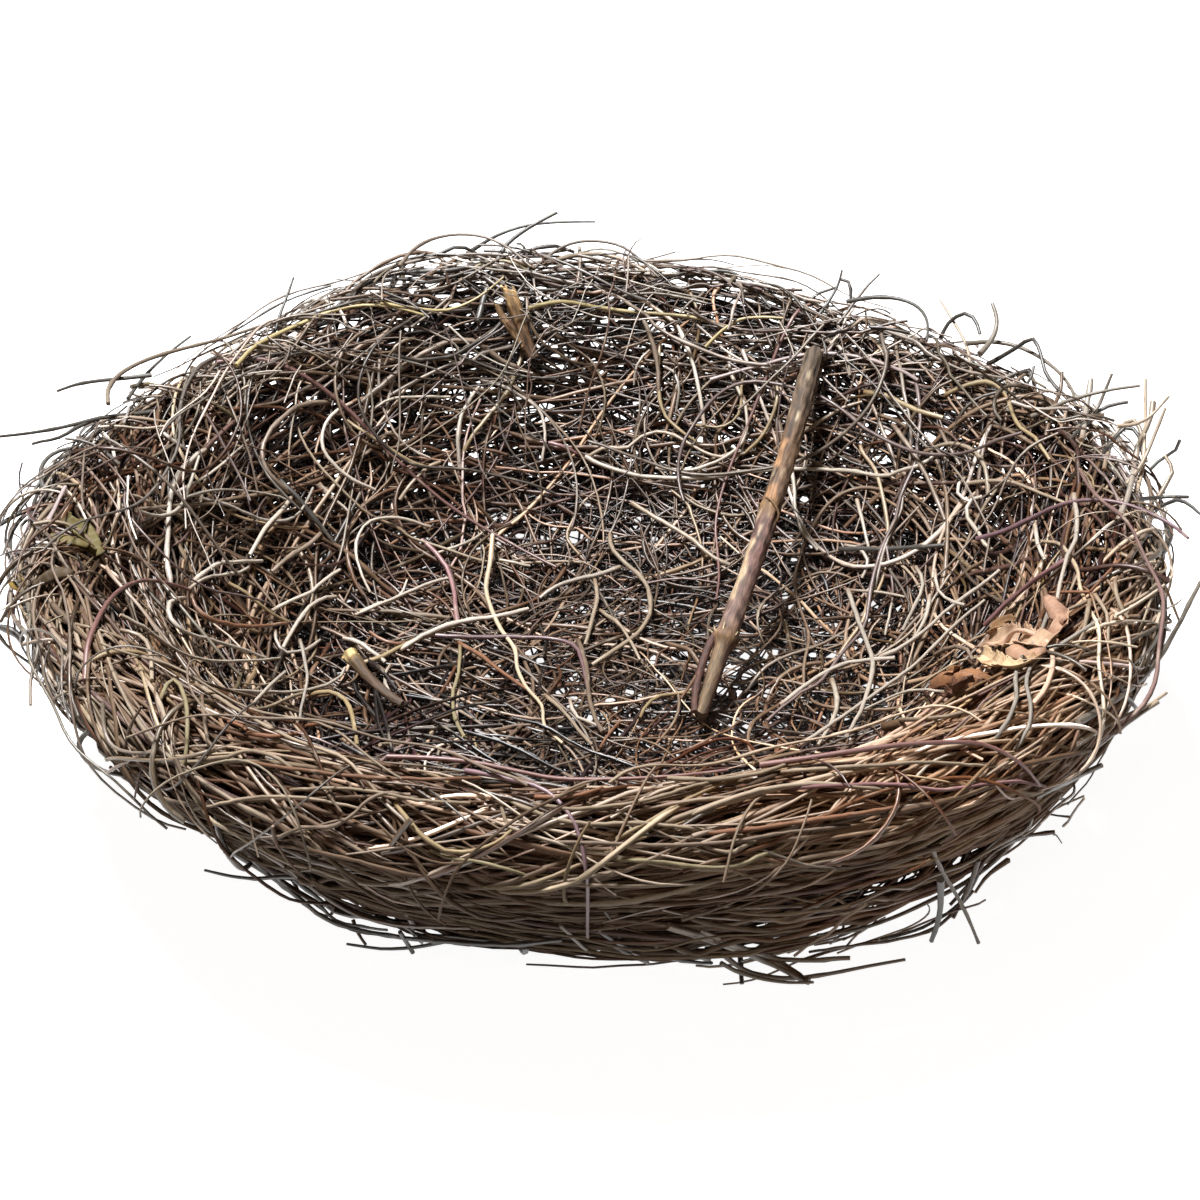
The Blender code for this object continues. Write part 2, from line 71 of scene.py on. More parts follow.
def smooth_through(points, steps):
    """Points of a Catmull-Rom curve through the given ones, with that many steps from each to the next."""
    given = np.asarray(points, float)
    last = len(given) - 1
    at = np.linspace(0, last, last * steps + 1)
    left = np.minimum(at.astype(int), last - 1)
    share = (at - left)[:, None]
    before, start, end, after = (given[np.clip(left + k, 0, last)] for k in (-1, 0, 1, 2))
    return 0.5 * (
        2 * start
        + (end - before) * share
        + (2 * before - 5 * start + 4 * end - after) * share**2
        + (3 * start - before - 3 * end + after) * share**3
    )


def lengths_along(points):
    return np.concatenate([[0], np.cumsum(np.linalg.norm(np.diff(points, axis=0), axis=1))])


def between(wanted, known, rows):
    """Rows at the wanted places, from the given ones at the known places."""
    return np.stack([np.interp(wanted, known, column) for column in np.transpose(rows)], -1)


def unit(vectors):
    return vectors / np.maximum(np.linalg.norm(vectors, axis=-1, keepdims=True), 1e-9)


def turn_from(at, azimuth):
    """Degrees from one azimuth to another, from -180 to 180."""
    return (azimuth - at + 180) % 360 - 180


def spot_at(azimuth, place, at_azimuth, turn_spread, at_place, place_spread):
    """A bump round one spot of the nest, 1 at its top."""
    turn = turn_from(at_azimuth, azimuth)
    return np.exp(-((turn / turn_spread) ** 2) - ((place - at_place) / place_spread) ** 2)


def lump(azimuth, place):
    """How far the nest stands out of the turned bowl there."""
    height = np.zeros(np.broadcast(azimuth, place).shape)
    for *spot, most in LUMPS:
        height += most * spot_at(azimuth, place, *spot)
    return height


class Surface:
    """A turned surface that twigs follow, over which heights are measured."""

    def __init__(self, points, lump_places):
        self.curve = smooth_through(points, 60)
        self.places = lengths_along(self.curve)
        self.lump_places = lump_places
        samples = np.arange(0, self.places[-1], 1.0)
        spots = self.section(samples).astype(np.float32)
        radii, heights = np.meshgrid(np.arange(0, REACH), np.arange(UNDER, OVER), indexing="ij")
        apart = (radii[..., None] - spots[:, 0]) ** 2 + (heights[..., None] - spots[:, 1]) ** 2
        self.nearest = samples[apart.argmin(-1)]

    def section(self, place):
        """Radius and height of the bare bowl there."""
        return np.maximum(between(place, self.places, self.curve), (0, -np.inf))

    def along(self, place):
        """The section's direction there."""
        return unit(self.section(place + 1.5) - self.section(place - 1.5))

    def lump(self, azimuth, place):
        return lump(azimuth, self.lump_places(place))

    def at(self, azimuth, place, height):
        """Points that far over the surface."""
        azimuth, place, height = (np.asarray(value, float) for value in (azimuth, place, height))
        along = self.along(place)
        normal = np.stack([along[..., 1], -along[..., 0]], -1)
        spot = self.section(place) + normal * (height + self.lump(azimuth, place))[..., None]
        turn = np.radians(azimuth)
        return np.stack([spot[..., 0] * np.cos(turn), spot[..., 0] * np.sin(turn), spot[..., 1]], -1)

    def frame(self, azimuth, place):
        """Unit vectors there: round the nest anticlockwise, up the section, and outward."""
        turn = np.radians(np.asarray(azimuth, float))
        along = self.along(np.asarray(place, float))
        cos, sin = np.cos(turn), np.sin(turn)
        round_about = np.stack([-sin, cos, np.zeros_like(turn)], -1)
        up = np.stack([along[..., 0] * cos, along[..., 0] * sin, along[..., 1]], -1)
        outward = np.stack([along[..., 1] * cos, along[..., 1] * sin, -along[..., 0]], -1)
        return round_about, up, outward

    def locate(self, points):
        """Azimuth, place and height of each point."""
        radius = np.hypot(points[:, 0], points[:, 1])
        azimuth = np.degrees(np.arctan2(points[:, 1], points[:, 0]))
        row = np.clip(np.round(radius).astype(int), 0, REACH - 1)
        column = np.clip(np.round(points[:, 2]).astype(int), UNDER, OVER - 1) - UNDER
        place = self.nearest[row, column]
        spot = np.stack([radius, points[:, 2]], -1)
        along = self.along(place)
        place = np.clip(place + ((spot - self.section(place)) * along).sum(1), 2, self.places[-1] - 2)
        along = self.along(place)
        normal = np.stack([along[:, 1], -along[:, 0]], -1)
        apart = spot - self.section(place)
        height = (apart * normal).sum(1) - self.lump(azimuth, place)
        past_end = np.maximum(np.abs((apart * along).sum(1)) - 3, 0)
        return azimuth, place, height + np.where(radius > 20, 4 * past_end, 0)


nest = Surface(SECTION, lambda place: place)
core = Surface(CORE_SECTION, lambda place: 96 + place * 0.62)

# ---------------------------------------------------------------- the picture's view

PICTURE = 1200
LENS, SENSOR = 80.73, 36
FOCAL = LENS / SENSOR * PICTURE
TARGET = np.array([3.0, 0.0, 50.0])
DISTANCE = 780.0
TILT = math.radians(30)
AHEAD = np.array([0, math.cos(TILT), -math.sin(TILT)])
UPWARD = np.array([0, math.sin(TILT), math.cos(TILT)])
RIGHT = np.array([1.0, 0, 0])
EYE = TARGET - DISTANCE * AHEAD
CAST_STEP = 1.5  # along a ray from the eye


def in_picture(points):
    """Where points stand in the picture, in pixels."""
    apart = points - EYE
    depth = apart @ AHEAD
    return PICTURE / 2 + FOCAL * np.stack([apart @ RIGHT / depth, -apart @ UPWARD / depth], -1)


def cast(spots, height):
    """Rays through those spots of the picture, and how far along each one is that far over the nest."""
    offset = spots - PICTURE / 2
    rays = unit(AHEAD * FOCAL + RIGHT * offset[:, :1] - UPWARD * offset[:, 1:])
    away = np.arange(560, 1000, CAST_STEP)
    points = EYE + rays[:, None] * away[:, None]
    over = nest.locate(points.reshape(-1, 3))[2].reshape(len(spots), -1) - height
    over = np.where(points[..., 2] > 0.5, over, np.inf)
    found = (over <= 0).any(1)
    first = np.where(found, (over <= 0).argmax(1), over.argmin(1))
    row = np.arange(len(spots))
    before, after = over[row, np.maximum(first - 1, 0)], over[row, first]
    back = np.where(found & np.isfinite(before), -after / np.maximum(before - after, 1e-6), 0)
    return rays, away[first] - CAST_STEP * back


# ---------------------------------------------------------------- how twigs lie

# Each style: heights over the courses, sway up and down, spread of headings round the flow, curvature and
# the length over which it changes, pull back to the flow, tightest bend off the surface, lengths, radii,
# sides, kinks in degrees, shares of twigs that fork and that dive in at their start and at their end, angles
# of forks, spacing of the rings, how far out a twig may go, and its share of brightness left at the foot
# under the painted shade there.
COMMON = dict(pull=0.0, sides=4, kink=5, forks=0.0, dives=(0.7, 0.6), spacing=10.0, most=9.0, painted_foot_shade=None)
STYLES = {
    "outer": dict(heights=(-9.0, -1.2), sway=1.6, spread=9, bend=0.0062, bend_length=50, pull=0.022,
                  stiff=0.034, lengths=(80, 240), radii=(0.34, 0.84), forks=0.07, dives=(0.9, 0.8),
                  fork_angles=(12, 36), painted_foot_shade=0.74),
    "rim": dict(heights=(-7.5, -0.8), sway=2.2, spread=14, bend=0.0085, bend_length=50, pull=0.016,
                stiff=0.04, lengths=(80, 220), radii=(0.36, 0.84), kink=6, forks=0.08, dives=(0.9, 0.8),
                fork_angles=(14, 34)),
    "loose": dict(heights=(-4.0, 5.0), sway=4.0, spread=36, bend=0.020, bend_length=60, stiff=0.05,
                  lengths=(60, 170), radii=(0.42, 0.8), forks=0.2, dives=(0.8, 0.6), fork_angles=(20, 50)),
    "swept": dict(heights=(-9.0, -1.0), sway=1.8, spread=9, bend=0.0065, bend_length=50, pull=0.014,
                  stiff=0.04, lengths=(60, 190), radii=(0.36, 0.88), forks=0.14, dives=(0.8, 0.6),
                  fork_angles=(18, 44)),
    "curly": dict(heights=(-10.0, -0.4), sway=3.4, spread=90, bend=0.026, bend_length=80, stiff=0.06,
                  lengths=(70, 210), radii=(0.34, 0.85), forks=0.16, fork_angles=(22, 50)),
    "floor": dict(heights=(-10.0, -0.4), sway=3.0, spread=90, bend=0.030, bend_length=60, stiff=0.07,
                  lengths=(50, 150), radii=(0.26, 0.74), kink=6, forks=0.16, fork_angles=(22, 50)),
    "fringe": dict(heights=(0.5, 8.0), sway=3.0, spread=45, bend=0.024, bend_length=40, stiff=0.09,
                   lengths=(26, 90), radii=(0.24, 0.5), kink=7, forks=0.25, dives=(1.0, 0.2),
                   fork_angles=(25, 60), most=15.0),
    "under": dict(heights=(-5.0, -0.8), sway=1.2, spread=70, bend=0.016, bend_length=30, stiff=0.05,
                  lengths=(50, 140), radii=(0.4, 0.8), kink=6),
    "deep": dict(heights=(-5.0, 5.0), sway=2.5, spread=40, bend=0.012, bend_length=40, stiff=0.05,
                 lengths=(60, 160), radii=(0.55, 0.95), sides=3, kink=6, spacing=16.0, most=30.0),
}
PALETTE = {
    "taupe": (125, 108, 93), "tan": (158, 138, 114), "brown": (103, 84, 69), "russet": (114, 86, 69),
    "slate": (74, 71, 68), "ochre": (160, 138, 98), "plum": (106, 84, 86), "straw": (190, 173, 150),
    "umber": (70, 46, 36), "khaki": (124, 114, 92), "teal": (52, 54, 50), "rust": (136, 98, 76),
    "grey": (150, 140, 128), "olive": (140, 128, 96), "mauve": (134, 98, 98), "cream": (190, 174, 155),
}
# The deep and under mixes are dark, cool colours: painted shade deep in the wall and under the nest.
MIXES = {
    "front": dict(taupe=28, tan=20, brown=25, russet=10, slate=4, ochre=6, plum=3, umber=6, khaki=6),
    "back": dict(taupe=22, tan=8, brown=24, russet=8, slate=18, ochre=4, plum=9, straw=1, umber=8, khaki=4),
    "inner": dict(taupe=26, tan=16, brown=18, russet=8, slate=10, ochre=6, plum=6, straw=5, umber=8, khaki=5),
    "floor": dict(taupe=24, tan=12, brown=20, russet=9, slate=12, ochre=5, plum=6, straw=4, umber=10,
                  khaki=6),
    "deep": dict(umber=45, slate=20, brown=20, teal=15),
    "under": dict(umber=20, slate=25, teal=35, brown=20),
}


def linear(colour):
    """Linear values of an sRGB colour given in 0 to 255."""
    value = np.asarray(colour, float) / 255
    return np.where(value <= 0.04045, value / 12.92, ((value + 0.055) / 1.055) ** 2.4)


def near(azimuth, at, spread):
    """A bump round one azimuth, 1 at its top."""
    return np.exp(-((turn_from(at, azimuth) / spread) ** 2))


def flow(azimuth, place):
    """Main heading of the twigs there, in radians over the horizontal, anticlockwise."""
    turn = np.radians(azimuth)
    waves = 3.5 * np.sin(3 * turn + place / 40) + 3.5 * np.sin(7 * turn - place / 30)
    waves = waves + 2.5 * np.sin(13 * turn + place / 9)
    waves = waves - 8 * near(azimuth, 225, 28) + 5 * near(azimuth, 292, 22) - 6 * near(azimuth, 330, 16)
    return np.radians(waves)


def clumps(azimuth, place):
    """How far twigs there bunch up or lie lower than the rest, in mm."""
    turn = np.radians(azimuth)
    ridges = np.sin(place / 2.4 + 2 * np.sin(3 * turn) + 1.3 * np.sin(7 * turn + place / 20))
    mounds = np.sin(6 * turn + place / 9) + np.sin(11 * turn - place / 13 + 2)
    leaf_bed = 5 * near(azimuth, 337, 8) * np.exp(-(((place - 252) / 17) ** 2))
    return 0.6 * ridges + 0.9 * mounds - leaf_bed


BETWEEN_KINKS = 24  # along a twig, on average
DIVES = ((6, 14), (7, 16))  # how deep the first and the last ends of twigs go in, and over what length
RETURN, LEVELLING = 144, 6  # the larger, the slower a twig returns to its height and levels out


def walk(surface, start, heading, lengths, aims, style, rng):
    """Paths of twigs that start at those points and bend along the surface, a point every STEP."""
    count = len(lengths)
    azimuth, place, _ = surface.locate(start)
    round_about, up, outward = surface.frame(azimuth, place)
    direction = np.cos(heading)[:, None] * round_about + np.sin(heading)[:, None] * up
    keep = math.exp(-STEP / style["bend_length"])
    bend = rng.normal(0, style["bend"], count)
    sway_length = rng.uniform(25, 60, count)
    sway_start = rng.uniform(0, 2 * np.pi, count)
    diving = [rng.uniform(0, 1, count) < share for share in style["dives"]]
    point = start.copy()
    points, heights, places = [], [], []
    for k in range(int(lengths.max() / STEP) + 2):
        azimuth, place, height = surface.locate(point)
        points.append(point.copy())
        heights.append(height)
        places.append(place)
        round_about, up, outward = surface.frame(azimuth, place)
        now = np.arctan2((direction * up).sum(1), (direction * round_about).sum(1))
        off = (now - flow(azimuth, place) + np.pi / 2) % np.pi - np.pi / 2
        bend = bend * keep + rng.normal(0, style["bend"] * math.sqrt(1 - keep**2), count)
        kinked = rng.uniform(0, 1, count) < STEP / BETWEEN_KINKS
        kink = np.where(kinked, rng.normal(0, math.radians(style["kink"]), count), 0)
        turn = (bend - style["pull"] * off) * STEP + kink
        gone = k * STEP
        aim = aims + style["sway"] * np.sin(2 * np.pi * gone / sway_length + sway_start)
        if surface is nest:
            aim = aim + clumps(azimuth, place)
        for dives, left, (deep, over) in zip(diving, (gone, lengths - gone), DIVES):
            aim = aim - np.where(dives, deep * np.clip(1 - left / over, 0, 1), 0)
        rise = (direction * outward).sum(1)
        lift = np.clip((aim - height) / RETURN - rise / LEVELLING, -style["stiff"], style["stiff"])
        side = np.cross(outward, direction)
        direction = unit(direction + side * turn[:, None] + outward * (lift * STEP)[:, None])
        point = point + direction * STEP
    return np.array(points), np.array(heights), np.array(places)


def seeds(surface, count, azimuths, places, rng, density=None):
    """Azimuths and places spread evenly over that part of the surface, thinned by the density there."""
    found = np.zeros((0, 2))
    while len(found) < count:
        azimuth = rng.uniform(*azimuths, 4 * count)
        place = rng.uniform(*places, 4 * count)
        chance = surface.section(place)[:, 0] / WIDEST
        if density is not None:
            chance = chance * density(azimuth, place)
        taken = rng.uniform(0, 1, 4 * count) < chance
        found = np.concatenate([found, np.stack([azimuth, place], -1)[taken]])
    return found[:count, 0], found[:count, 1]


def thinned(points, spacing):
    """Indexes along a path where a tube needs a ring: more where it bends."""
    steps = np.diff(points, axis=0)
    lengths = np.linalg.norm(steps, axis=1)
    turns = np.zeros(len(lengths))
    along = steps / np.maximum(lengths[:, None], 1e-9)
    turns[1:] = np.linalg.norm(np.diff(along, axis=0), axis=1)
    cost = np.concatenate([[0], np.cumsum(lengths / spacing + turns / 0.27)])
    return np.interp(np.linspace(0, cost[-1], max(3, int(round(cost[-1])) + 1)), cost, np.arange(len(points)))


def sampled(values, at):
    """Rows of values at fractional indexes."""
    low = np.minimum(at.astype(int), len(values) - 2)
    share = at - low
    if values.ndim > 1:
        share = share[:, None]
    return values[low] * (1 - share) + values[low + 1] * share


FACING = (0.31, -0.47, 0.83)  # where the first corner of a plain twig's rings is turned


class Twig:
    """A tube: its middle line, and its radii and colours from ring to ring, or from corner to corner.

    Facing is where its first corner is turned, and shifts is how far its corners are moved along it.
    """

    def __init__(self, points, radii, tints, sides, facing=FACING, shifts=0):
        shape = (len(points), sides)
        self.points = points
        self.radii = np.broadcast_to(radii if np.ndim(radii) == 2 else np.reshape(radii, (-1, 1)), shape)
        self.tints = np.broadcast_to(tints if np.ndim(tints) == 3 else tints[:, None], (*shape, 3))
        self.sides = sides
        self.facing = facing
        self.shifts = np.broadcast_to(shifts, shape)


# Brightness of each mix, how much it varies, and its warmth. The mixes' brightness is partly painted light
# and shade for their parts of the nest, and the deep mix is darkened as painted shade within the wall.
TONES = {
    "front": (0.88, 0.26, 1.28), "back": (1.14, 0.55, 0.98), "inner": (0.72, 0.72, 1.42),
    "floor": (0.50, 0.85, 1.30), "deep": (0.22, 0.4, 1.9), "under": (0.75, 0.4, 1.2),
}
# Painted light and shade on the paler and darker sides of the nest: azimuth and spread, and what is added to
# the brightness.
PAINTED_SIDES = [(345, 36, 0.25), (308, 26, 1.05), (255, 26, -0.1)]
# Painted shade towards the outside's foot, less dark on the pale side.
PAINTED_PALE_FOOT = (308, 26, 0.3)  # the same, for the least brightness at the foot
FOOT, FOOT_HEIGHT = 104, 86  # place where the outside is darkest, and how far above it that ends
WARM = np.array([0.35, -0.04, -0.31])  # how much more red, green and blue than grey a plain twig is


def toned(colour, brightness, warmth=1.0, plain=0.0):
    """A colour made darker or paler, where the pale ones come out greyer; plain ones are nearer to WARM."""
    mean = colour.mean()
    hue = (1 - plain) * (colour / mean - 1) + plain * WARM
    mean = mean * brightness
    return np.maximum(mean * (1 + hue * warmth * (mean / 0.08) ** -0.4), 0.002)


def tint_of(mix, rng):
    """A tint drawn from a mix."""
    names = list(MIXES[mix])
    weights = np.array([MIXES[mix][name] for name in names], float)
    colour = linear(PALETTE[names[rng.choice(len(names), p=weights / weights.sum())]])
    brightness, spread, warmth = TONES[mix]
    return toned(colour, brightness * rng.lognormal(-0.12, spread), warmth, 0.45)


# Painted shade: twigs deep in the wall are darker and redder, blue fading faster than red.
PAINTED_DEEP_TONE = np.array([0.7, 1.05, 1.35])  # how much faster blue fades than red, deep in the wall


def tints_along(colour, lengths, heights, rng):
    """A twig's colour from ring to ring: a little uneven, and darker and redder deep in the wall as painted
    shade.
    """
    wave = np.sin(lengths / rng.uniform(6, 20) + rng.uniform(0, 6)) * rng.uniform(0.02, 0.14)
    shade = np.clip(1.1 + heights / 5.3, 0.05, 1.1)
    return colour * (1 + wave)[:, None] * shade[:, None] ** PAINTED_DEEP_TONE


# Gaps through the wall and the floor, where one sees between the twigs: x, y and radius in the picture.
GAPS = """
290,337,3 313,335,4 323,330,5 334,330,4 343,327,5 353,322,6 340,335,4 378,327,4 388,322,5 398,322,4 378,335,3
365,327,4 304,345,2 452,350,6 464,357,4 473,354,4 479,348,3 489,353,4 408,392,3 310,397,5 300,402,3 291,406,3
503,325,3 496,315,3 385,367,3 403,371,3 445,412,2 395,463,4 400,467,3 425,450,2 385,440,3 335,432,3 475,455,3
363,460,2 276,452,2 456,515,3 462,516,3 492,517,5 505,518,5 362,530,4 386,527,3 376,523,3 400,533,3 413,535,3
520,537,4 507,533,3 545,536,5 556,532,6 565,536,6 576,538,8 500,547,4 480,550,3 555,356,3 561,366,4 581,380,3
665,357,5 676,357,3 667,365,4 686,376,3 599,372,3 527,410,3 533,409,4 545,407,3 724,440,6 736,446,4 700,440,3
676,447,3 587,506,4 638,519,4 707,522,3 685,505,2 655,540,3 558,544,4 760,460,3 805,499,4 878,456,7 869,452,5
848,450,3 868,425,3 895,512,4 615,535,3 735,510,3 695,550,3 650,325,5 661,326,5 671,328,4 605,320,4 775,320,4
820,345,3 832,327,3 583,610,5 575,608,4 620,610,5 644,610,4 557,616,3 568,626,5 530,652,6 541,660,4 567,655,4
497,645,3 495,675,3 487,677,3 560,690,6 575,677,5 655,660,6 664,656,5 678,625,4 686,655,4 600,682,4 594,714,9
603,716,6 630,690,6 626,708,4 640,697,4 724,668,7 735,673,10 747,680,9 757,687,9 735,692,8 722,688,6 770,693,7
781,692,6 811,700,8 804,698,5 752,672,5 785,597,5 790,606,4 830,655,6 814,655,5 846,657,4 728,725,4 875,605,4
900,608,4 862,640,3 840,640,3 800,610,4 808,625,3 925,440,6 932,436,5 885,433,4 745,655,4 760,650,4 775,652,4
212,815,2 282,853,3 290,861,3 297,868,3 307,874,4 323,878,5 334,884,4 304,889,4 312,893,4 321,896,4 344,900,4
354,905,5 363,910,4 360,877,3 392,889,3 399,903,4 422,932,4 432,931,4 505,925,3 494,910,2 463,912,2 757,925,4
765,922,3 786,914,4 792,917,3 780,938,4 737,944,5 748,947,5 804,898,5 820,898,4 836,903,4 815,921,4 850,899,4
868,892,5 880,884,5 862,915,6 880,905,7 893,893,6 845,925,4 905,880,6 922,872,5 940,866,5 958,860,5 975,852,5
690,945,4 700,948,4 612,300,4 590,287,5 568,293,5 545,296,4 560,303,4 640,282,4 660,290,4 680,283,5 700,290,4
720,300,5 735,290,5 750,300,5 738,304,4 700,303,4 668,272,3 647,270,3 690,278,4 715,283,4 480,285,6 462,290,6
470,298,5 440,295,6 425,300,5 455,306,4 415,290,6 430,285,5 500,300,5 520,300,5 540,288,4 850,322,4 862,327,4
875,335,4 890,340,5 905,345,4 905,358,5 915,350,5 930,340,5 945,350,5 935,365,4 925,332,3 915,330,3 955,372,3
940,392,4 960,400,3 1040,430,4 1060,415,6 1050,425,5 1065,440,5 1085,465,5 1100,440,8 1115,450,6 1130,450,7
1108,470,5 1128,470,5 1085,440,6 1060,400,5
"""
GAP_SHARE = 0.8  # of those radii that stays open, as twigs bend round a gap one after another
GAP_SPOTS = np.array([[int(value) for value in row.split(",")] for row in GAPS.split()], float)
FINE = 3  # steps of a path that bends round gaps for each one it had
THIN, THIN_CROSS, THICK_CROSS = 0.46, 0.3, 0.05  # radius of a thin twig, and shares that cross the gaps
FORK_WIDTH = 0.72  # of a side twig, as a share of the width where it leaves
LOWEST_MIDDLE = 1  # height of the middle line of side twigs and leading twigs
SHORTEST, SHORTEST_SIDE = 5, 4  # points of a twig and of a side twig


def led_round(path, radius, rng):
    """The path in finer steps, bent round the gaps it would cross; now and then a twig does cross them."""
    fine = smooth_through(path, FINE)
    if rng.uniform() < (THIN_CROSS if radius < THIN else THICK_CROSS):
        return fine
    spots = in_picture(fine)
    pixels = FOCAL / DISTANCE  # for each millimetre
    to_mm = ((fine - EYE) @ AHEAD / FOCAL)[:, None]
    beside = (GAP_SPOTS[:, :2] > spots.min(0) - 9) & (GAP_SPOTS[:, :2] < spots.max(0) + 9)
    for x, y, gap in GAP_SPOTS[beside.all(1)]:
        apart = spots - (x, y)
        far = np.hypot(*apart.T)
        k = far.argmin()
        wanted = gap * GAP_SHARE + radius * pixels + rng.uniform(-0.8, 1.4)
        if far[k] >= wanted:
            continue
        side = apart[k] / max(far[k], 0.3)
        gone = np.abs(np.arange(len(fine)) - k) * STEP / FINE * pixels
        shift = np.outer((wanted - far[k]) * np.exp(-((gone / (1.2 * wanted + 6)) ** 2)), side)
        spots = spots + shift
        fine = fine + to_mm * (shift[:, :1] * RIGHT - shift[:, 1:] * UPWARD)
    return fine


def runs_of(flags):
    """Starts and ends of the runs of true flags."""
    return np.nonzero(np.diff(np.concatenate([[0], flags.astype(int), [0]])))[0].reshape(-1, 2)


def stretches(path, rng):
    """Where a deep path runs beside the gaps, as starts and ends in steps."""
    at = np.arange(0, len(path) - 1 + 0.01, 0.5)
    spots = in_picture(sampled(path, at))
    apart = np.hypot(*(spots[:, None] - GAP_SPOTS[:, :2]).transpose(2, 0, 1))
    clear = (apart - GAP_SPOTS[:, 2] * GAP_SHARE > rng.uniform(1, 3)).all(1)
    return [(at[a], at[b - 1]) for a, b in runs_of(clear) if b - a > 6]


def last_point(length, heights, style, rng):
    """Index where a path of that length ends, or where it first stands too far out."""
    over = np.nonzero(heights > rng.uniform(0.35, 1) * style["most"])[0]
    return min(int(length / STEP) + 1, over[0] if len(over) else len(heights))


def painted_side_shade(path, place, least):
    """Painted light and shade along a path: by the nest's side, and painted shade towards the foot where a
    least is given.
    """
    turn = np.degrees(np.arctan2(path[:, 1], path[:, 0]))
    shade = np.ones(len(path))
    for at, spread, more in PAINTED_SIDES:
        shade = shade + more * near(turn, at, spread)
    if least is None:
        return shade
    at, spread, more = PAINTED_PALE_FOOT
    least = least + more * near(turn, at, spread)
    return shade * (least + (1 - least) * np.clip((place - FOOT) / FOOT_HEIGHT, 0, 1))


def lay(surface, style_name, mix, count, azimuths, places, seed, density=None):
    """Twigs of one style, spread over a part of the surface, with some forks."""
    style = COMMON | STYLES[style_name]
    rng = np.random.default_rng(seed)
    azimuth, place = seeds(surface, count, azimuths, places, rng, density)
    lengths = rng.uniform(*style["lengths"], count) * rng.choice([0.6, 1.0], count, p=[0.3, 0.7])
    aims = rng.uniform(*style["heights"], count)
    aims = np.where(rng.uniform(0, 1, count) < 0.2, style["heights"][1] - rng.uniform(0, 1.5, count), aims)
    headings = flow(azimuth, place) + np.radians(rng.normal(0, style["spread"], count))
    headings = headings + np.pi * rng.integers(0, 2, count)
    start = surface.at(azimuth, place, aims - 2 + (clumps(azimuth, place) if surface is nest else 0))
    points, heights, spots = walk(surface, start, headings, lengths, aims, style, rng)
    thinnest, thickest = style["radii"]
    radii = thinnest + (thickest - thinnest) * rng.uniform(0, 1, count) ** 1.5
    rest(points, radii)
    twigs, forks = [], []
    for k in range(count):
        last = last_point(lengths[k], heights[:, k], style, rng)
        if last < SHORTEST:
            continue
        path, depth = points[:last, k], heights[:last, k]
        colour = tint_of(mix, rng)
        if surface is core:
            cuts = [np.linspace(a, b, max(3, int(b - a))) for a, b in stretches(path, rng)]
            parts = [(sampled(path, at), sampled(depth, at)) for at in cuts]
        else:
            fine = np.linspace(0, last - 1, (last - 1) * FINE + 1)
            # Painted light and shade by the nest's side, and painted shade towards the foot.
            shade = painted_side_shade(path, spots[:last, k], style["painted_foot_shade"])
            parts = [(led_round(path, radii[k], rng), sampled(depth, fine), sampled(shade, fine))]
        twigs += [finished_twig(radii[k], colour, style, rng, *part) for part in parts]
        if style["sides"] > 3 and last > 14 and rng.uniform() < style["forks"]:
            at = rng.integers(4, last - 6)
            forks.append((path[at], path[at + 1] - path[at - 1], radii[k] * FORK_WIDTH, colour, aims[k]))
    if forks:
        twigs += grow_forks(surface, style, forks, rng)
    return twigs


def swells(count, rough, share, knot, rng):
    """Widths from ring to ring, a little uneven and with knots at that share of them."""
    return 1 + rng.normal(0, rough, count) + np.where(rng.uniform(0, 1, count) < share, knot, 0)


def rest(points, radii):
    """Keeps a twig over what the nest rests on."""
    points[..., 2] = np.maximum(points[..., 2], radii + LOWEST)


def finished_twig(radius, colour, style, rng, path, depth, shade=None):
    """A twig along a path, a little uneven and tapered, that rests on what the nest rests on."""
    at = thinned(path, style["spacing"])
    lengths = sampled(lengths_along(path), at)
    swell = swells(len(at), 0.05, 0.09, 0.34, rng)
    taper = np.linspace(1, rng.uniform(0.55, 0.95), len(at))
    tints = tints_along(colour, lengths, sampled(depth, at), rng)
    # Painted light and shade along the twig, where given.
    if shade is not None:
        tints = tints * sampled(shade, at)[:, None]
    rings, radii = sampled(path, at), radius * taper * swell
    rest(rings, radii)
    return Twig(rings, radii, tints, style["sides"])


def grow_forks(surface, style, forks, rng):
    """Side twigs from each fork: its point, the direction there, radius, colour and height to keep to."""
    start, along, radii, colours, aims = (np.array(column) for column in zip(*forks))
    along = unit(along)
    azimuth, place, _ = surface.locate(start)
    round_about, up, _ = surface.frame(azimuth, place)
    headings = np.arctan2((along * up).sum(1), (along * round_about).sum(1))
    headings += np.radians(rng.uniform(*style["fork_angles"], len(forks))) * rng.choice([-1, 1], len(forks))
    lengths = rng.uniform(14, 60, len(forks))
    points, heights, _ = walk(surface, start, headings, lengths, aims, style, rng)
    points[..., 2] = np.maximum(points[..., 2], LOWEST_MIDDLE)
    twigs = []
    for k in range(len(forks)):
        last = last_point(lengths[k], heights[:, k], style, rng)
        if last >= SHORTEST_SIDE:
            twigs.append(finished_twig(radii[k], colours[k], style, rng, points[:last, k], heights[:last, k]))
    return twigs


# ---------------------------------------------------------------- meshes

CAP_SHARE = 0.03  # of a twig's strip in its map, for each of its two ends
COLUMNS = 146  # of strips in a map, at most
MARGIN = np.array([1.1, 1.5]) / 1024  # round a strip in its map
counted = []


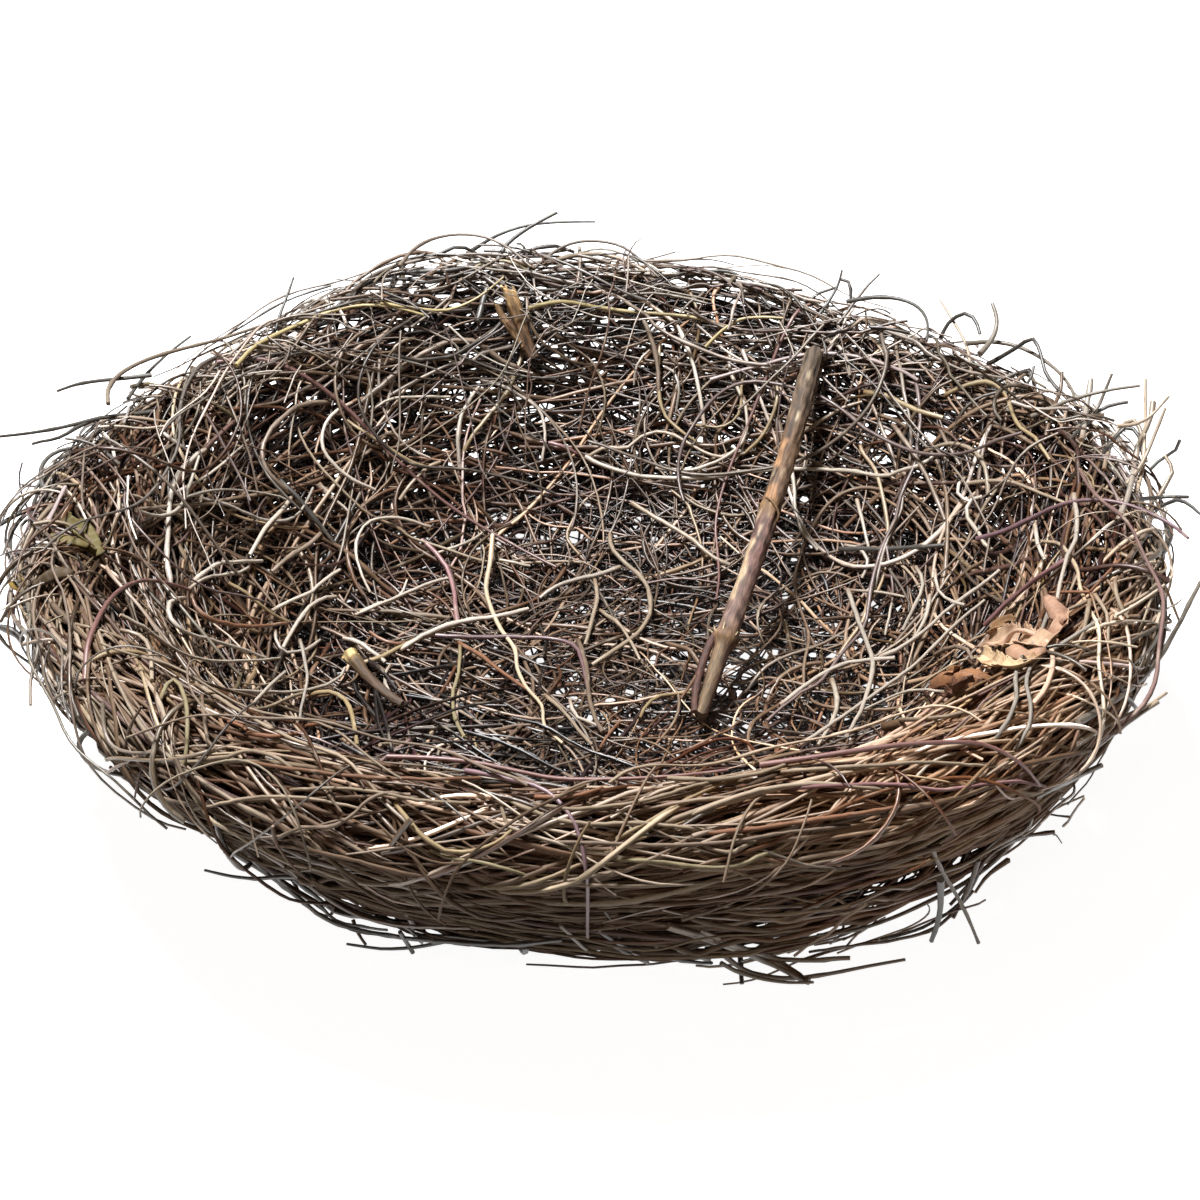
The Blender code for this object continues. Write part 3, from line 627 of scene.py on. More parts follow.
def transported(points, facing):
    """Unit vectors along each path and two across it at each of its points, turning as little as they can."""
    ahead = np.concatenate([points[:, 1:], points[:, -1:]], 1)
    behind = np.concatenate([points[:, :1], points[:, :-1]], 1)
    tangents = unit(ahead - behind)
    first = np.zeros_like(points)
    start = tangents[:, 0]
    first[:, 0] = unit(facing - start * (facing * start).sum(1, keepdims=True))
    for k in range(1, points.shape[1]):
        tangent = tangents[:, k]
        kept = first[:, k - 1]
        first[:, k] = unit(kept - tangent * (kept * tangent).sum(1, keepdims=True))
    return tangents, first, np.cross(tangents, first)


def quad_heights(values, sides):
    """Values from ring to ring, at each corner of the quads between the rings."""
    low, high = np.repeat(values[:-1, None], sides, 1), np.repeat(values[1:, None], sides, 1)
    return np.stack([low, low, high, high], -1).reshape(-1)


def twig_mesh(name, twigs):
    """One mesh of all those twigs, each a tube with a strip of its own in the bake map."""
    columns = min(COLUMNS, math.ceil(math.sqrt(len(twigs) * 12))) if len(twigs) > 1 else 1
    rows = math.ceil(len(twigs) / columns)
    cell = np.array([1 / columns, 1 / rows])
    size = cell - 2 * MARGIN
    verts, tints, loops, totals, bake, grain = [], [], [], [], [], []
    offset = 0
    number = 0
    for sides in sorted({twig.sides for twig in twigs}):
        group = [twig for twig in twigs if twig.sides == sides]
        counts = np.array([len(twig.points) for twig in group])
        most = counts.max()
        points = np.array([np.pad(t.points, ((0, most - len(t.points)), (0, 0)), mode="edge") for t in group])
        facing = np.array([twig.facing for twig in group])
        tangents, first, second = transported(points, facing)
        angles = 2 * np.pi * np.arange(sides) / sides
        cos, sin = np.cos(angles)[None, :, None], np.sin(angles)[None, :, None]
        j = np.arange(sides)[None, :]
        following = (j + 1) % sides
        for k, twig in enumerate(group):
            n = counts[k]
            across = cos * first[k, :n, None] + sin * second[k, :n, None]
            ring = twig.points[:, None] + across * twig.radii[..., None]
            ring = ring + tangents[k, :n, None] * twig.shifts[..., None]
            tube = ring.reshape(-1, 3)
            verts += [tube, ring[0], ring[-1]]
            pale = np.minimum(twig.tints[[0, -1]] * 1.5 + 0.03, 0.8)
            tints += [twig.tints.reshape(-1, 3), pale[0], pale[1]]
            starts = offset + sides * np.arange(n - 1)[:, None]
            ends = starts + sides
            quads = np.stack([starts + j, starts + following, ends + following, ends + j], -1)
            loops.append(quads.reshape(-1))
            totals.append(np.full(quads.shape[0] * sides, 4))
            corner = np.array([number % columns, number // columns]) * cell + MARGIN
            lengths = lengths_along(twig.points)
            share = CAP_SHARE + (1 - 2 * CAP_SHARE) * lengths / lengths[-1]
            left, right = (np.broadcast_to((j + more) / sides, (n - 1, sides)) for more in (0, 1))
            u = np.stack([left, right, right, left], -1).reshape(-1)
            bake.append(corner + np.stack([u, quad_heights(share, sides)], -1) * size)
            round_about = u * 2 * np.pi * twig.radii.mean() + number * 7.3
            grain.append(np.stack([round_about, quad_heights(lengths, sides) + number * 3.7], -1))
            for end, place in ((0, CAP_SHARE * 0.45), (1, 1 - CAP_SHARE * 0.45)):
                base = offset + sides * n + sides * end
                fan = np.array([[0, i + 1, i + 2] if end else [0, i + 2, i + 1] for i in range(sides - 2)])
                loops.append((base + fan).reshape(-1))
                totals.append(np.full(sides - 2, 3))
                disc = np.stack([0.5 + 0.45 * np.cos(angles), place + CAP_SHARE * 0.4 * np.sin(angles)], -1)
                bake.append(corner + disc[fan.reshape(-1)] * size)
                grain.append(disc[fan.reshape(-1)] * 1.5 + number)
            offset += sides * (n + 2)
            number += 1
    return make_mesh(name, *(np.concatenate(part) for part in (verts, tints, loops, totals, bake, grain)))


def make_mesh(name, verts, tints, loops, totals, bake, grain):
    """A piece from its corners, their colours, its faces and two maps: one to bake in, one for the bark."""
    mesh = bpy.data.meshes.new(name)
    mesh.vertices.add(len(verts))
    mesh.vertices.foreach_set("co", (verts * MM).astype(np.float32).ravel())
    mesh.loops.add(len(loops))
    mesh.loops.foreach_set("vertex_index", loops.astype(np.int32))
    mesh.polygons.add(len(totals))
    mesh.polygons.foreach_set("loop_start", np.concatenate([[0], np.cumsum(totals)[:-1]]).astype(np.int32))
    mesh.update(calc_edges=True)
    for map_name, spots in (("OFBake", bake), ("Grain", grain)):
        layer = mesh.uv_layers.new(name=map_name)
        layer.data.foreach_set("uv", spots.astype(np.float32).ravel())
    piece = tinted_piece(mesh, tints)
    triangles = int((totals - 2).sum())
    print(f"{name}: {triangles} triangles")
    counted.append(triangles)
    return piece


def tinted_piece(mesh, tints):
    """A smooth piece of that mesh, which carries its own colours."""
    colours = mesh.color_attributes.new("tint", "FLOAT_COLOR", "POINT")
    values = np.concatenate([tints, np.ones((len(tints), 1))], 1)
    colours.data.foreach_set("color", values.astype(np.float32).ravel())
    mesh.shade_smooth()
    return add_item(mesh.name, mesh)


def add_item(name, data):
    item = bpy.data.objects.new(name, data)
    bpy.context.scene.collection.objects.link(item)
    return item


def place_piece(piece, material, slot, *nodes):
    piece.data.materials.append(material)
    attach(piece, "root")
    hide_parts(*nodes)


# ---------------------------------------------------------------- materials

def add_node(tree, kind, place, **inputs):
    """A node with its inputs set, or linked where a socket is given."""
    node = tree.nodes.new(kind)
    node.location = place
    for name, value in inputs.items():
        set_input(tree, node.inputs[name.replace("_", " ")], value)
    return node


def set_input(tree, socket, value):
    if isinstance(value, bpy.types.NodeSocket):
        tree.links.new(value, socket)
    else:
        socket.default_value = value


def mix_colours(tree, blend, place, *values):
    """Two colours mixed by a factor."""
    node = tree.nodes.new("ShaderNodeMix")
    node.data_type = "RGBA"
    node.blend_type = blend
    node.location = place
    for socket, value in zip((0, 6, 7), values):
        set_input(tree, node.inputs[socket], value)
    return node.outputs[2]


def tinted_material(name):
    """A new material, its node tree and the colour that its pieces carry."""
    made = bpy.data.materials.new(name)
    made.use_nodes = True
    tint = add_node(made.node_tree, "ShaderNodeVertexColor", (-1100, 300))
    tint.layer_name = "tint"
    return made, made.node_tree, tint.outputs["Color"]


def finish_material(tree, colour, roughness, gloss, uneven, strength, depth):
    """The shader's inputs, with relief as deep as the unevenness says."""
    shader = tree.nodes["Principled BSDF"]
    relief = add_node(tree, "ShaderNodeBump", (-250, -350), Strength=strength, Distance=depth, Height=uneven)
    for name, value in (("Base Color", colour), ("Roughness", roughness), ("Specular IOR Level", gloss),
                        ("Normal", relief.outputs["Normal"])):
        set_input(tree, shader.inputs[name], value)


FLECK = (0.58, 0.49, 0.38, 1)  # colour of the worn flecks


def bark_material(name, fleck_share=0.25, roughness=0.44, bump=0.25, gloss=0.9, streaks_share=0.25):
    """Dry thin bark over the twigs' own tints: streaks along them, with relief, and worn flecks."""
    made, tree, tint = tinted_material(name)
    grain = add_node(tree, "ShaderNodeUVMap", (-1500, -100))
    grain.uv_map = "Grain"
    along = grain.outputs["UV"]
    stretch = add_node(tree, "ShaderNodeMapping", (-1300, -100), Vector=along, Scale=(1.0, 0.16, 1.0))
    streaks = add_node(tree, "ShaderNodeTexNoise", (-1100, 0), Vector=stretch.outputs["Vector"],
                       Scale=1.6, Detail=3.0, Roughness=0.6).outputs["Fac"]
    patches = add_node(tree, "ShaderNodeTexNoise", (-1100, -300), Vector=along, Scale=0.12, Detail=2.0)
    light_dark = add_node(tree, "ShaderNodeMapRange", (-900, 0), Value=streaks, From_Min=0.3, From_Max=0.7,
                          To_Min=1 - streaks_share, To_Max=1 + streaks_share)
    toned = mix_colours(tree, "MULTIPLY", (-650, 200), 1.0, tint, light_dark.outputs["Result"])
    worn = add_node(tree, "ShaderNodeMapRange", (-900, -300), Value=patches.outputs["Fac"],
                    From_Min=0.60, From_Max=0.70, To_Max=fleck_share)
    flecked = mix_colours(tree, "MIX", (-450, 150), worn.outputs["Result"], toned, FLECK)
    rough = add_node(tree, "ShaderNodeMapRange", (-450, -150), Value=streaks,
                     To_Min=roughness - 0.12, To_Max=roughness + 0.14)
    finish_material(tree, flecked, rough.outputs["Result"], gloss, streaks, bump, 0.0003)
    return made


# ---------------------------------------------------------------- the woven mass

wall_bark = bark_material("wall_bark")
front_bark = bark_material("front_bark", roughness=0.66, gloss=0.3)


def crossing(azimuth, place):
    """Where the inner wall's twigs lie crosswise: the back, and the foot of the wall all round."""
    back = np.cos(np.radians(azimuth - 92)) > -0.25
    return np.where(back | (place > 300), 1.0, 0.0)


def curling(azimuth, place):
    """Density of the inner wall's twigs that lie in curls, and then of those that sweep round it."""
    return 0.12 + 0.88 * crossing(azimuth, place)


def sweeping(azimuth, place):
    return 1.0 - 0.75 * crossing(azimuth, place)


def not_low_left(azimuth, place):
    """The outside is sparse low down on the left of the front."""
    return 1 - 0.75 * spot_at(azimuth, place, 222, 26, 118, 22)


def glade(surface, most):
    """Density of twigs that is lower over the patch of the cup's floor that can be seen through."""
    def density(azimuth, place):
        radius = surface.section(place)[..., 0]
        x, y = radius * np.cos(np.radians(azimuth)), radius * np.sin(np.radians(azimuth))
        return 1 - most * np.exp(-(((x - 30) / 34) ** 2) - ((y - 4) / 30) ** 2)
    return density


def open_back(azimuth, place):
    """The wall is thinner and can be seen through here and there at the back."""
    thinner = 0.3 * near(azimuth, 95, 50) * np.clip((place - 30) / 40, 0, 1)
    return (1 - thinner) * glade(core, 0.95)(azimuth, place)


def crest(azimuth, place):
    """Most of the short ends stand on the back rim, left of its middle."""
    return 0.25 + 0.75 * near(azimuth, 116, 34)


# Pieces, and what each is made of: style, mix, number of twigs, azimuths, places, seed and density.
WALL = {
    "outer_front": [("outer", "front", 860, (180, 360), (98, 212), 1, not_low_left)],
    "front_rim": [("rim", "front", 330, (182, 358), (196, 236), 2),
                  ("loose", "front", 36, (190, 350), (150, 232), 11)],
    "outer_back": [("outer", "back", 380, (0, 180), (98, 208), 3),
                   ("rim", "back", 90, (-5, 185), (196, 236), 4),
                   ("loose", "back", 190, (15, 195), (198, 236), 10)],
    "inner_wall": [("swept", "inner", 760, (0, 360), (232, 318), 5, sweeping)],
    "inner_back": [("curly", "inner", 640, (0, 360), (232, 325), 6, curling)],
    "cup_floor": [("floor", "floor", 560, (0, 360), (305, 386), 7, glade(nest, 0.8)),
                  ("under", "under", 260, (0, 360), (6, 104), 8, glade(nest, 0.9))],
    "fringe_twigs": [("fringe", "back", 150, (10, 190), (202, 236), 12, crest),
                     ("fringe", "back", 60, (140, 220), (112, 205), 13),
                     ("fringe", "front", 60, (-40, 40), (112, 215), 14),
                     ("fringe", "front", 26, (285, 335), (104, 124), 15)],
    "deep_twigs": [("deep", "deep", 1250, (0, 360), (10, 160), 9, open_back)],
}


def place_twigs(name, twigs):
    """One piece of the woven mass; those of the front are less glossy."""
    bark = front_bark if "front" in name else wall_bark
    place_piece(twig_mesh(name, twigs), bark, "woven_twigs", "woven_wall")


for piece_name, rows in WALL.items():
    place_twigs(piece_name, [twig for row in rows for twig in lay(core if row[0] == "deep" else nest, *row)])


# ---------------------------------------------------------------- twigs that stand out

# Each group: brightness, share of the width in the picture that is a radius, how far off the nest a twig may
# stand, and seed; then colour, width in the picture and the spots that each twig passes there, in pixels.
LEADING = {
    "twigs_front_left": (0.7, 0.5, 7, 1550, """
tan 4.5 196,684 225,702 255,720 290,738 318,748 342,757 362,775 380,795
ochre 5 395,803 410,822 425,838 445,850 465,852 485,847 500,840 515,828 522,820
taupe 4.5 270,842 300,828 330,827 350,817 365,803 383,793 410,795
olive 5 160,700 168,683 175,680 183,692 187,715 187,745 182,770 175,787
taupe 4 202,695 205,725 210,745 230,755
tan 5 187,750 200,758 225,757 250,751 275,757 300,775
grey 4 300,640 305,660 307,680 303,700 299,720 300,735
cream 4 250,708 258,698 270,685 285,672
tan 4 245,710 265,708 290,697 310,692
cream 3.5 228,690 265,692 300,691 325,685 340,677 345,668
ochre 5 310,695 330,692 345,700 353,718 357,745
cream 3.5 390,665 384,678 390,692 403,708
olive 4 460,645 459,670 453,695 456,720 468,742
rust 4.5 458,642 480,655 510,678 535,695
ochre 3 460,745 462,737 470,733 475,742 478,755
tan 4 500,800 505,820 512,832
olive 4 430,850 450,858 480,862 510,870 540,880
straw 3 320,783 327,792
straw 3 440,750 430,765
rust 5 248,733 275,737 300,733
rust 4 228,722 240,725 246,730
rust 3.5 305,726 335,721
tan 4 340,750 365,748 385,744 400,745
taupe 4 150,655 180,672 220,688 262,700 310,716 360,728
tan 4 170,812 210,806 250,798 290,797 330,802 372,812
brown 4.5 225,852 262,846 300,848 345,858 400,872 452,880
russet 4 250,762 290,768 335,774 380,778 430,779 480,778
tan 3.5 290,790 335,788 378,792 420,800 470,803"""),
    "twigs_front_right": (0.76, 0.5, 7, 2538, """
tan 5 513,767 545,767 600,770 640,775 680,779 720,779 755,774 785,765 810,752 835,733 860,718 890,700
tan 4.5 530,803 570,809 610,806 650,799 690,787 720,780
tan 4.5 500,795 525,808 560,820 600,824 640,823 690,828 715,833
rust 5 690,832 720,832 760,828 800,822 840,816 880,810 900,806
tan 5 680,820 720,803 760,790 810,784 860,787 900,792
olive 4.5 600,858 662,862 700,867 735,866 765,854 790,850
tan 4 690,840 720,851 735,852 750,843 770,838
umber 4 655,770 680,757 700,746 725,738 745,742 762,758 772,770
rust 3.5 600,748 608,735 620,722
ochre 4 640,718 648,703 660,696 690,693
taupe 5 578,640 586,665 588,690 594,715 603,732
tan 4 545,695 565,713 583,735 592,745
cream 3.5 570,700 575,715 590,722 605,730
rust 5 535,797 570,796 600,789 617,777 623,765
straw 3.5 610,812 625,820 632,830
straw 5 832,680 837,700 832,722 818,745
cream 5 848,590 858,620 868,645 873,665 868,690 860,712 850,730 838,750
cream 4.5 780,705 810,682 840,665 870,660 895,658
cream 4 800,745 840,718 880,690 905,672 925,655 940,640 955,625 985,600
cream 4 880,657 900,648 925,630 950,608 975,590 1000,570
taupe 5 935,655 950,647 965,648 973,660
grey 5 992,742 1005,725 1016,700 1016,672 1028,650 1040,635 1048,612
grey 4.5 1015,750 1028,728 1031,705 1026,682 1035,662 1060,645 1100,620
rust 3.5 1050,593 1070,592 1090,592
rust 3.5 1090,592 1100,581 1110,570 1120,560
tan 4.5 1095,595 1107,615 1108,645
tan 4.5 1090,600 1085,625 1078,645
tan 4 1090,600 1068,610 1045,620
tan 4.5 1115,580 1118,600 1128,618
tan 5 900,720 935,718 965,712
brown 11 885,727 893,725 902,723
tan 4.5 780,772 830,768 880,765 920,762 960,764 1010,768
mauve 4.5 780,788 850,785 900,785 940,790 980,785 1020,782 1060,790
brown 6 880,815 930,805 980,790 1010,777
brown 6 1020,765 1060,757 1090,750
straw 3.5 912,782 925,768 940,758 955,753
cream 3 945,692 915,690 890,697 860,712
straw 3 850,590 880,592 905,597
cream 3 893,600 888,620 885,635
cream 4 916,567 923,580 920,595 910,615 903,630
cream 4 930,595 925,620 912,640
cream 3.5 935,570 938,590 950,600 965,605
taupe 4 540,842 600,843 660,845 725,842 790,832 850,826
tan 4 560,884 620,886 690,884 750,876 815,864 880,850
brown 5 640,905 700,902 760,893 820,880 880,865 940,846"""),
    "twigs_left": (0.9, 0.5, 7, 1935, """
cream 5.5 205,450 190,460 176,478 170,500 168,530 167,560 171,585
tan 4 120,497 130,495 145,500 160,510 180,515
taupe 4 135,510 165,507 200,504 240,505
grey 3.5 200,498 225,504 248,514 270,521 290,519 303,508 313,488
straw 5 291,498 282,510 268,525 258,540 250,555
taupe 5 322,532 308,545 290,556 272,572
slate 5 280,480 300,500 320,525 335,545
cream 4 188,590 205,578 225,575 245,570 252,560
cream 4 192,583 215,565 235,562 262,561
ochre 4 228,583 245,592 260,605 275,615 288,622
cream 4 272,611 292,600 310,593 322,582 340,570
cream 4.5 336,597 325,598 312,605 300,618 290,635 283,648
cream 3.5 275,630 277,643 285,652 305,650 317,643 320,640
rust 4.5 192,598 198,610 215,621 240,626 265,626 288,623
cream 4.5 185,598 172,600 168,608 173,622 188,633 215,641 245,650 265,658
straw 4 120,615 140,625 165,643 180,652 205,660 240,661 280,658
tan 4.5 120,630 140,635 150,650 152,680
cream 3.5 360,612 375,605 395,600 403,590 407,580
straw 3.5 430,527 400,518 380,518 365,525 357,540 356,555 362,575 370,592
cream 4.5 343,638 360,643 385,662
ochre 5 358,664 382,657 405,645 430,635 455,627
rust 4 370,632 390,643 415,641
cream 5 400,650 430,632 460,622 500,616 528,609
mauve 5 422,540 438,555 450,575 455,600 458,630
cream 3.5 355,615 395,598 430,583 450,578
cream 3.5 160,430 175,442 190,453
straw 3.5 191,401 184,410 181,425 184,447
cream 4 352,403 335,412 324,428 322,445 332,462 350,478 375,490
taupe 5 330,402 300,405 280,420 268,435 262,455 270,475 290,492
ochre 3.5 347,420 365,433 385,445 405,458 425,467 455,470
cream 3.5 170,495 200,480 225,462 248,440
tan 4 400,500 410,485 425,470 440,462
cream 7 318,484 325,491 332,498
cream 3.5 333,499 345,508 352,515"""),
    "twigs_back": (0.85, 0.5, 7, 2005, """
cream 3.5 480,380 500,385 520,395 535,405 543,418 545,440 542,460
ochre 4.5 523,350 518,368 505,395 485,420 470,440 462,455
cream 4.5 478,388 468,402 460,422 458,445 460,470
tan 3.5 415,338 402,341 392,350 385,365
straw 3 370,412 385,402 405,397 450,397
taupe 6 362,402 385,383 410,362 440,345 465,340 485,348 505,362 540,377
tan 4 588,457 605,448 627,448 640,437 660,432 680,438 700,450 722,457 745,453
straw 5 586,457 605,466 635,475 670,478 710,477 750,471 800,469 850,471 880,476 900,471 920,465 935,455
mauve 3.5 540,442 560,445 580,455
straw 4 731,350 730,370 738,388 745,405 747,428 738,448 715,462 690,470 656,468
ochre 3.5 762,364 748,370 741,385 742,402 736,418 720,427 690,424
ochre 4 774,375 778,390 774,412 763,435 745,453
ochre 4 660,345 658,370 660,400 665,415 680,430 700,445
taupe 5 640,310 650,335 657,360 659,390 662,410
grey 3.5 665,367 675,374 679,390 676,412
cream 3 650,350 637,365 634,385
straw 4 780,450 790,466 794,485 795,508 802,530 818,550
tan 4 775,450 790,437 810,428 825,418 845,407 862,402
ochre 6 865,392 885,395 905,405 925,413 943,418
straw 4 820,338 840,348 848,362 850,375
ochre 5 945,395 965,386 985,382 1000,388 1010,405 1018,425 1035,438 1050,460
cream 4 965,478 957,487 960,497 972,502
straw 5 982,497 972,500 966,510 969,521 977,530 983,542 992,550
tan 4.5 965,484 990,481 1015,483 1040,493 1065,503
tan 4.5 925,452 945,444 962,445 977,454 986,470 988,495
cream 5.5 1074,495 1077,520 1075,540 1066,560 1060,585 1055,610
cream 5 1035,525 1038,545 1045,560
taupe 5 893,425 908,445 922,468 933,490 945,520
taupe 4 938,425 945,440 960,465
mauve 6 985,625 1010,600 1035,580 1065,560
straw 4 857,500 862,520 867,540 870,555
cream 4 845,545 862,550 868,563 862,578
slate 6 840,549 880,549 920,547 945,545"""),
    "twigs_floor": (0.85, 0.5, 7, 443, """
cream 5 620,567 600,574 575,580 555,587 540,598
tan 5 610,535 612,548 625,563 642,578 650,597 649,615 638,633 615,650 592,665
tan 4.5 595,580 597,600 592,620 585,645
straw 3 500,560 530,566
tan 5 632,503 660,520 690,538 712,556 730,565
plum 5 430,635 470,637 520,637 560,640 578,650 586,680 590,700
straw 3.5 438,553 460,545 475,538 488,528
tan 4 600,610 620,625 630,640 640,660"""),
    "twigs_outline": (0.72, 0.68, 40, 3412, """
slate 3 100,418 80,426 60,437 32,444
slate 6 22,640 14,632 0,627
slate 3.5 48,504 32,508 16,515 0,525
olive 3 110,767 125,778 143,788 162,795 180,802
olive 3.5 131,387 145,384 165,387 185,393 210,402 240,420
slate 3.5 160,800 178,812 190,822 203,833
slate 3.5 400,932 407,943 413,953
brown 3 353,920 358,933 366,945
brown 3 342,297 352,284 375,268 400,256 425,252 440,258 455,272
slate 3 435,257 447,250 460,247 473,252 485,258
slate 2.5 803,306 820,293 838,287
slate 2.5 840,279 848,281 851,292 850,308
slate 3.5 988,364 1005,355 1020,345 1033,339 1040,352 1045,372 1060,391 1080,408
slate 3.5 995,383 1010,376 1030,370
cream 4.5 1082,440 1086,410 1091,379
slate 3.5 1101,456 1112,441 1122,430 1131,427 1139,436 1143,455
tan 4 1158,498 1165,485 1173,470 1165,456
slate 3.5 1135,500 1155,498 1172,497 1188,497
slate 3.5 1150,510 1168,503 1182,500 1200,514
tan 4 1095,748 1125,724 1158,702
slate 4 1118,684 1127,697 1136,708
slate 4.5 1165,521 1171,530 1168,545 1160,556
grey 5 1035,797 1060,785 1082,774 1102,765
brown 4 978,860 970,885 953,918
slate 3.5 770,955 790,968 804,980
slate 3 655,945 668,957 690,962 712,963
slate 3 595,938 612,945 630,955 648,963
slate 3 388,292 396,275 408,262 425,254
slate 3.5 352,300 364,285 384,276 412,272 450,270 488,262
brown 3 300,318 322,303 345,292 372,288 400,292
slate 3 330,312 350,296 372,282 402,279 430,282 455,276
brown 3.5 420,282 446,264 474,256 506,258 534,268
olive 3 470,272 486,262 510,262 530,272
slate 3 512,262 530,250 552,246 574,252
tan 3.5 552,262 572,256 600,254 628,262 650,274
slate 3 1008,412 1018,396 1030,380 1034,366
brown 3.5 1046,436 1052,412 1060,392 1062,372
slate 3.5 1070,440 1084,424 1104,408 1128,402
tan 3.5 1104,470 1110,446 1120,428 1134,420 1142,436 1146,462
tan 4 1130,470 1140,442 1150,420 1153,402
cream 4 1118,520 1128,496 1134,470 1138,444
slate 3 1150,470 1162,458 1174,452 1180,440
taupe 4 1128,560 1144,536 1152,508 1148,480
slate 3 940,340 948,324 962,314 974,318 980,334
tan 4 26,600 20,575 24,548 36,524 52,506
taupe 4 40,640 30,612 28,580 36,552 50,530
slate 3.5 54,470 42,486 34,505 32,530
brown 3.5 60,700 48,676 42,648 44,620
slate 3 82,730 70,712 60,690 56,668
slate 3 14,560 10,545 14,528 26,515
slate 3 92,440 76,452 60,468 50,486
slate 3.5 228,850 270,876 296,896 328,920 369,932 422,940 504,945 562,940
slate 3 262,862 287,886 316,902 340,922 387,930
slate 3 293,879 318,898 340,914 398,923 422,943
brown 3 250,846 284,866 320,894 360,916 410,926 470,928
slate 2.5 240,842 256,864 280,880 318,906 352,930 400,936
taupe 3 973,891 938,926 896,940 850,946 809,952
slate 2.5 979,873 961,902 926,926 880,940
brown 3 1055,832 1020,838 990,855 973,879 950,905
tan 6 668,926 715,941 762,959 809,982
russet 5 738,950 785,966 806,981
slate 3 662,936 680,950 709,960
slate 3.5 740,955 742,984
slate 3 598,930 621,945 647,961
taupe 3.5 560,925 575,940 590,952
tan 4 700,930 742,948 790,960 850,958"""),
}
LEADING_SPACING = 8  # between the rings of a leading twig, in pixels
LEADING_SIDES = 6
SINK, SINK_LENGTH = 2.6, 7  # how far the ends of a leading twig go in, and over what length
FREE = 3  # height of an end over the nest from which it doesn't go in


def spots_in(text):
    """Spots of the picture, written as x,y with spaces between them."""
    return [[float(value) for value in spot.split(",")] for spot in text.split()]


def soften(row, own):
    """Draws all but the ends of a row towards their neighbours; each itself counts that often."""
    row[1:-1] = (row[:-2] + own * row[1:-1] + row[2:]) / (own + 2)


def traced(spots, height, rng):
    """Points over the nest at those spots of the picture, with how far off, along and over it each is."""
    curve = smooth_through(spots_in(spots), 8)
    gone = lengths_along(curve)
    count = max(5, int(gone[-1] / LEADING_SPACING))
    curve = between(np.linspace(0, gone[-1], count), gone, curve)
    curve[1:-1] += rng.normal(0, 0.25, (count - 2, 2))
    rays, away = cast(curve, height)
    for _ in range(3):
        soften(away, 2)
    points = EYE + rays * away[:, None]
    gone, over = lengths_along(points), nest.locate(points)[2]
    from_end = np.stack([gone, gone[-1] - gone]) + np.where(over[[0, -1]] < FREE, 0, 99)[:, None]
    points = points + rays * (SINK * np.clip(1 - from_end / SINK_LENGTH, 0, 1).sum(0))[:, None]
    points[..., 2] = np.maximum(points[..., 2], LOWEST_MIDDLE)
    return points, away, gone, nest.locate(points)[2]


def leading_twig(row, tone, share, most, rng):
    """A twig on top of the others along the spots it passes; its ends go in among them."""
    colour, width, spots = row.split(maxsplit=2)
    points, away, gone, over = traced(spots, rng.uniform(0.3, 1.3), rng)
    runs = runs_of(over < most)
    first, last = runs[np.argmax(runs[:, 1] - runs[:, 0])]
    points, away, gone = points[first:last], away[first:last], gone[first:last]
    swell = swells(len(points), 0.04, 0.12, 0.25, rng)
    radii = float(width) * share * away / FOCAL * swell * np.linspace(1, rng.uniform(0.7, 1), len(points))
    tint = toned(linear(PALETTE[colour]), tone * rng.lognormal(0, 0.1), 1.25)
    rest(points, radii)
    # Painted shade: the first end is darker where it goes in among the others.
    tints = tints_along(tint, gone, -np.clip(2.5 - gone, 0, 2) - 0.6, rng)
    return Twig(points, radii, tints, LEADING_SIDES)


for piece_name, (tone, share, most, seed, rows) in LEADING.items():
    rng = np.random.default_rng(seed)
    place_twigs(piece_name, [leading_twig(row, tone, share, most, rng) for row in rows.strip().splitlines()])


# ---------------------------------------------------------------- single twigs

def centreline(node, reach):
    """Middle and radius of each ring of a tube-shaped solid, from end to end, in mm.

    Corners on an edge shorter than the reach are of the same ring.
    """
    mesh = frame["nodes"][node].data
    corners = np.array([vertex.co[:] for vertex in mesh.vertices]) / MM
    spots, same = np.unique(corners.round(3), axis=0, return_inverse=True)
    edges = same.reshape(-1)[np.array([edge.vertices[:] for edge in mesh.edges])]
    length = np.linalg.norm(spots[edges[:, 0]] - spots[edges[:, 1]], axis=1)
    ring = np.arange(len(spots))
    for _ in range(12):  # until one number has gone round each ring
        for a, b in edges[length < reach]:
            ring[a] = ring[b] = min(ring[a], ring[b])
    names = np.unique(ring)
    middles = np.array([spots[ring == name].mean(0) for name in names])
    radii = np.array([np.linalg.norm(spots[ring == name] - middle, axis=1).max()
                      for name, middle in zip(names, middles)])
    joined = {k: set() for k in range(len(names))}
    at = np.searchsorted(names, ring)
    for a, b in edges:
        if at[a] != at[b]:
            joined[at[a]].add(at[b])
            joined[at[b]].add(at[a])
    order = [min(k for k in joined if len(joined[k]) == 1)]
    while len(order) < len(names):
        following = [k for k in joined[order[-1]] if k not in order]
        if not following:
            break
        order.append(following[0])
    return middles[order], radii[order]


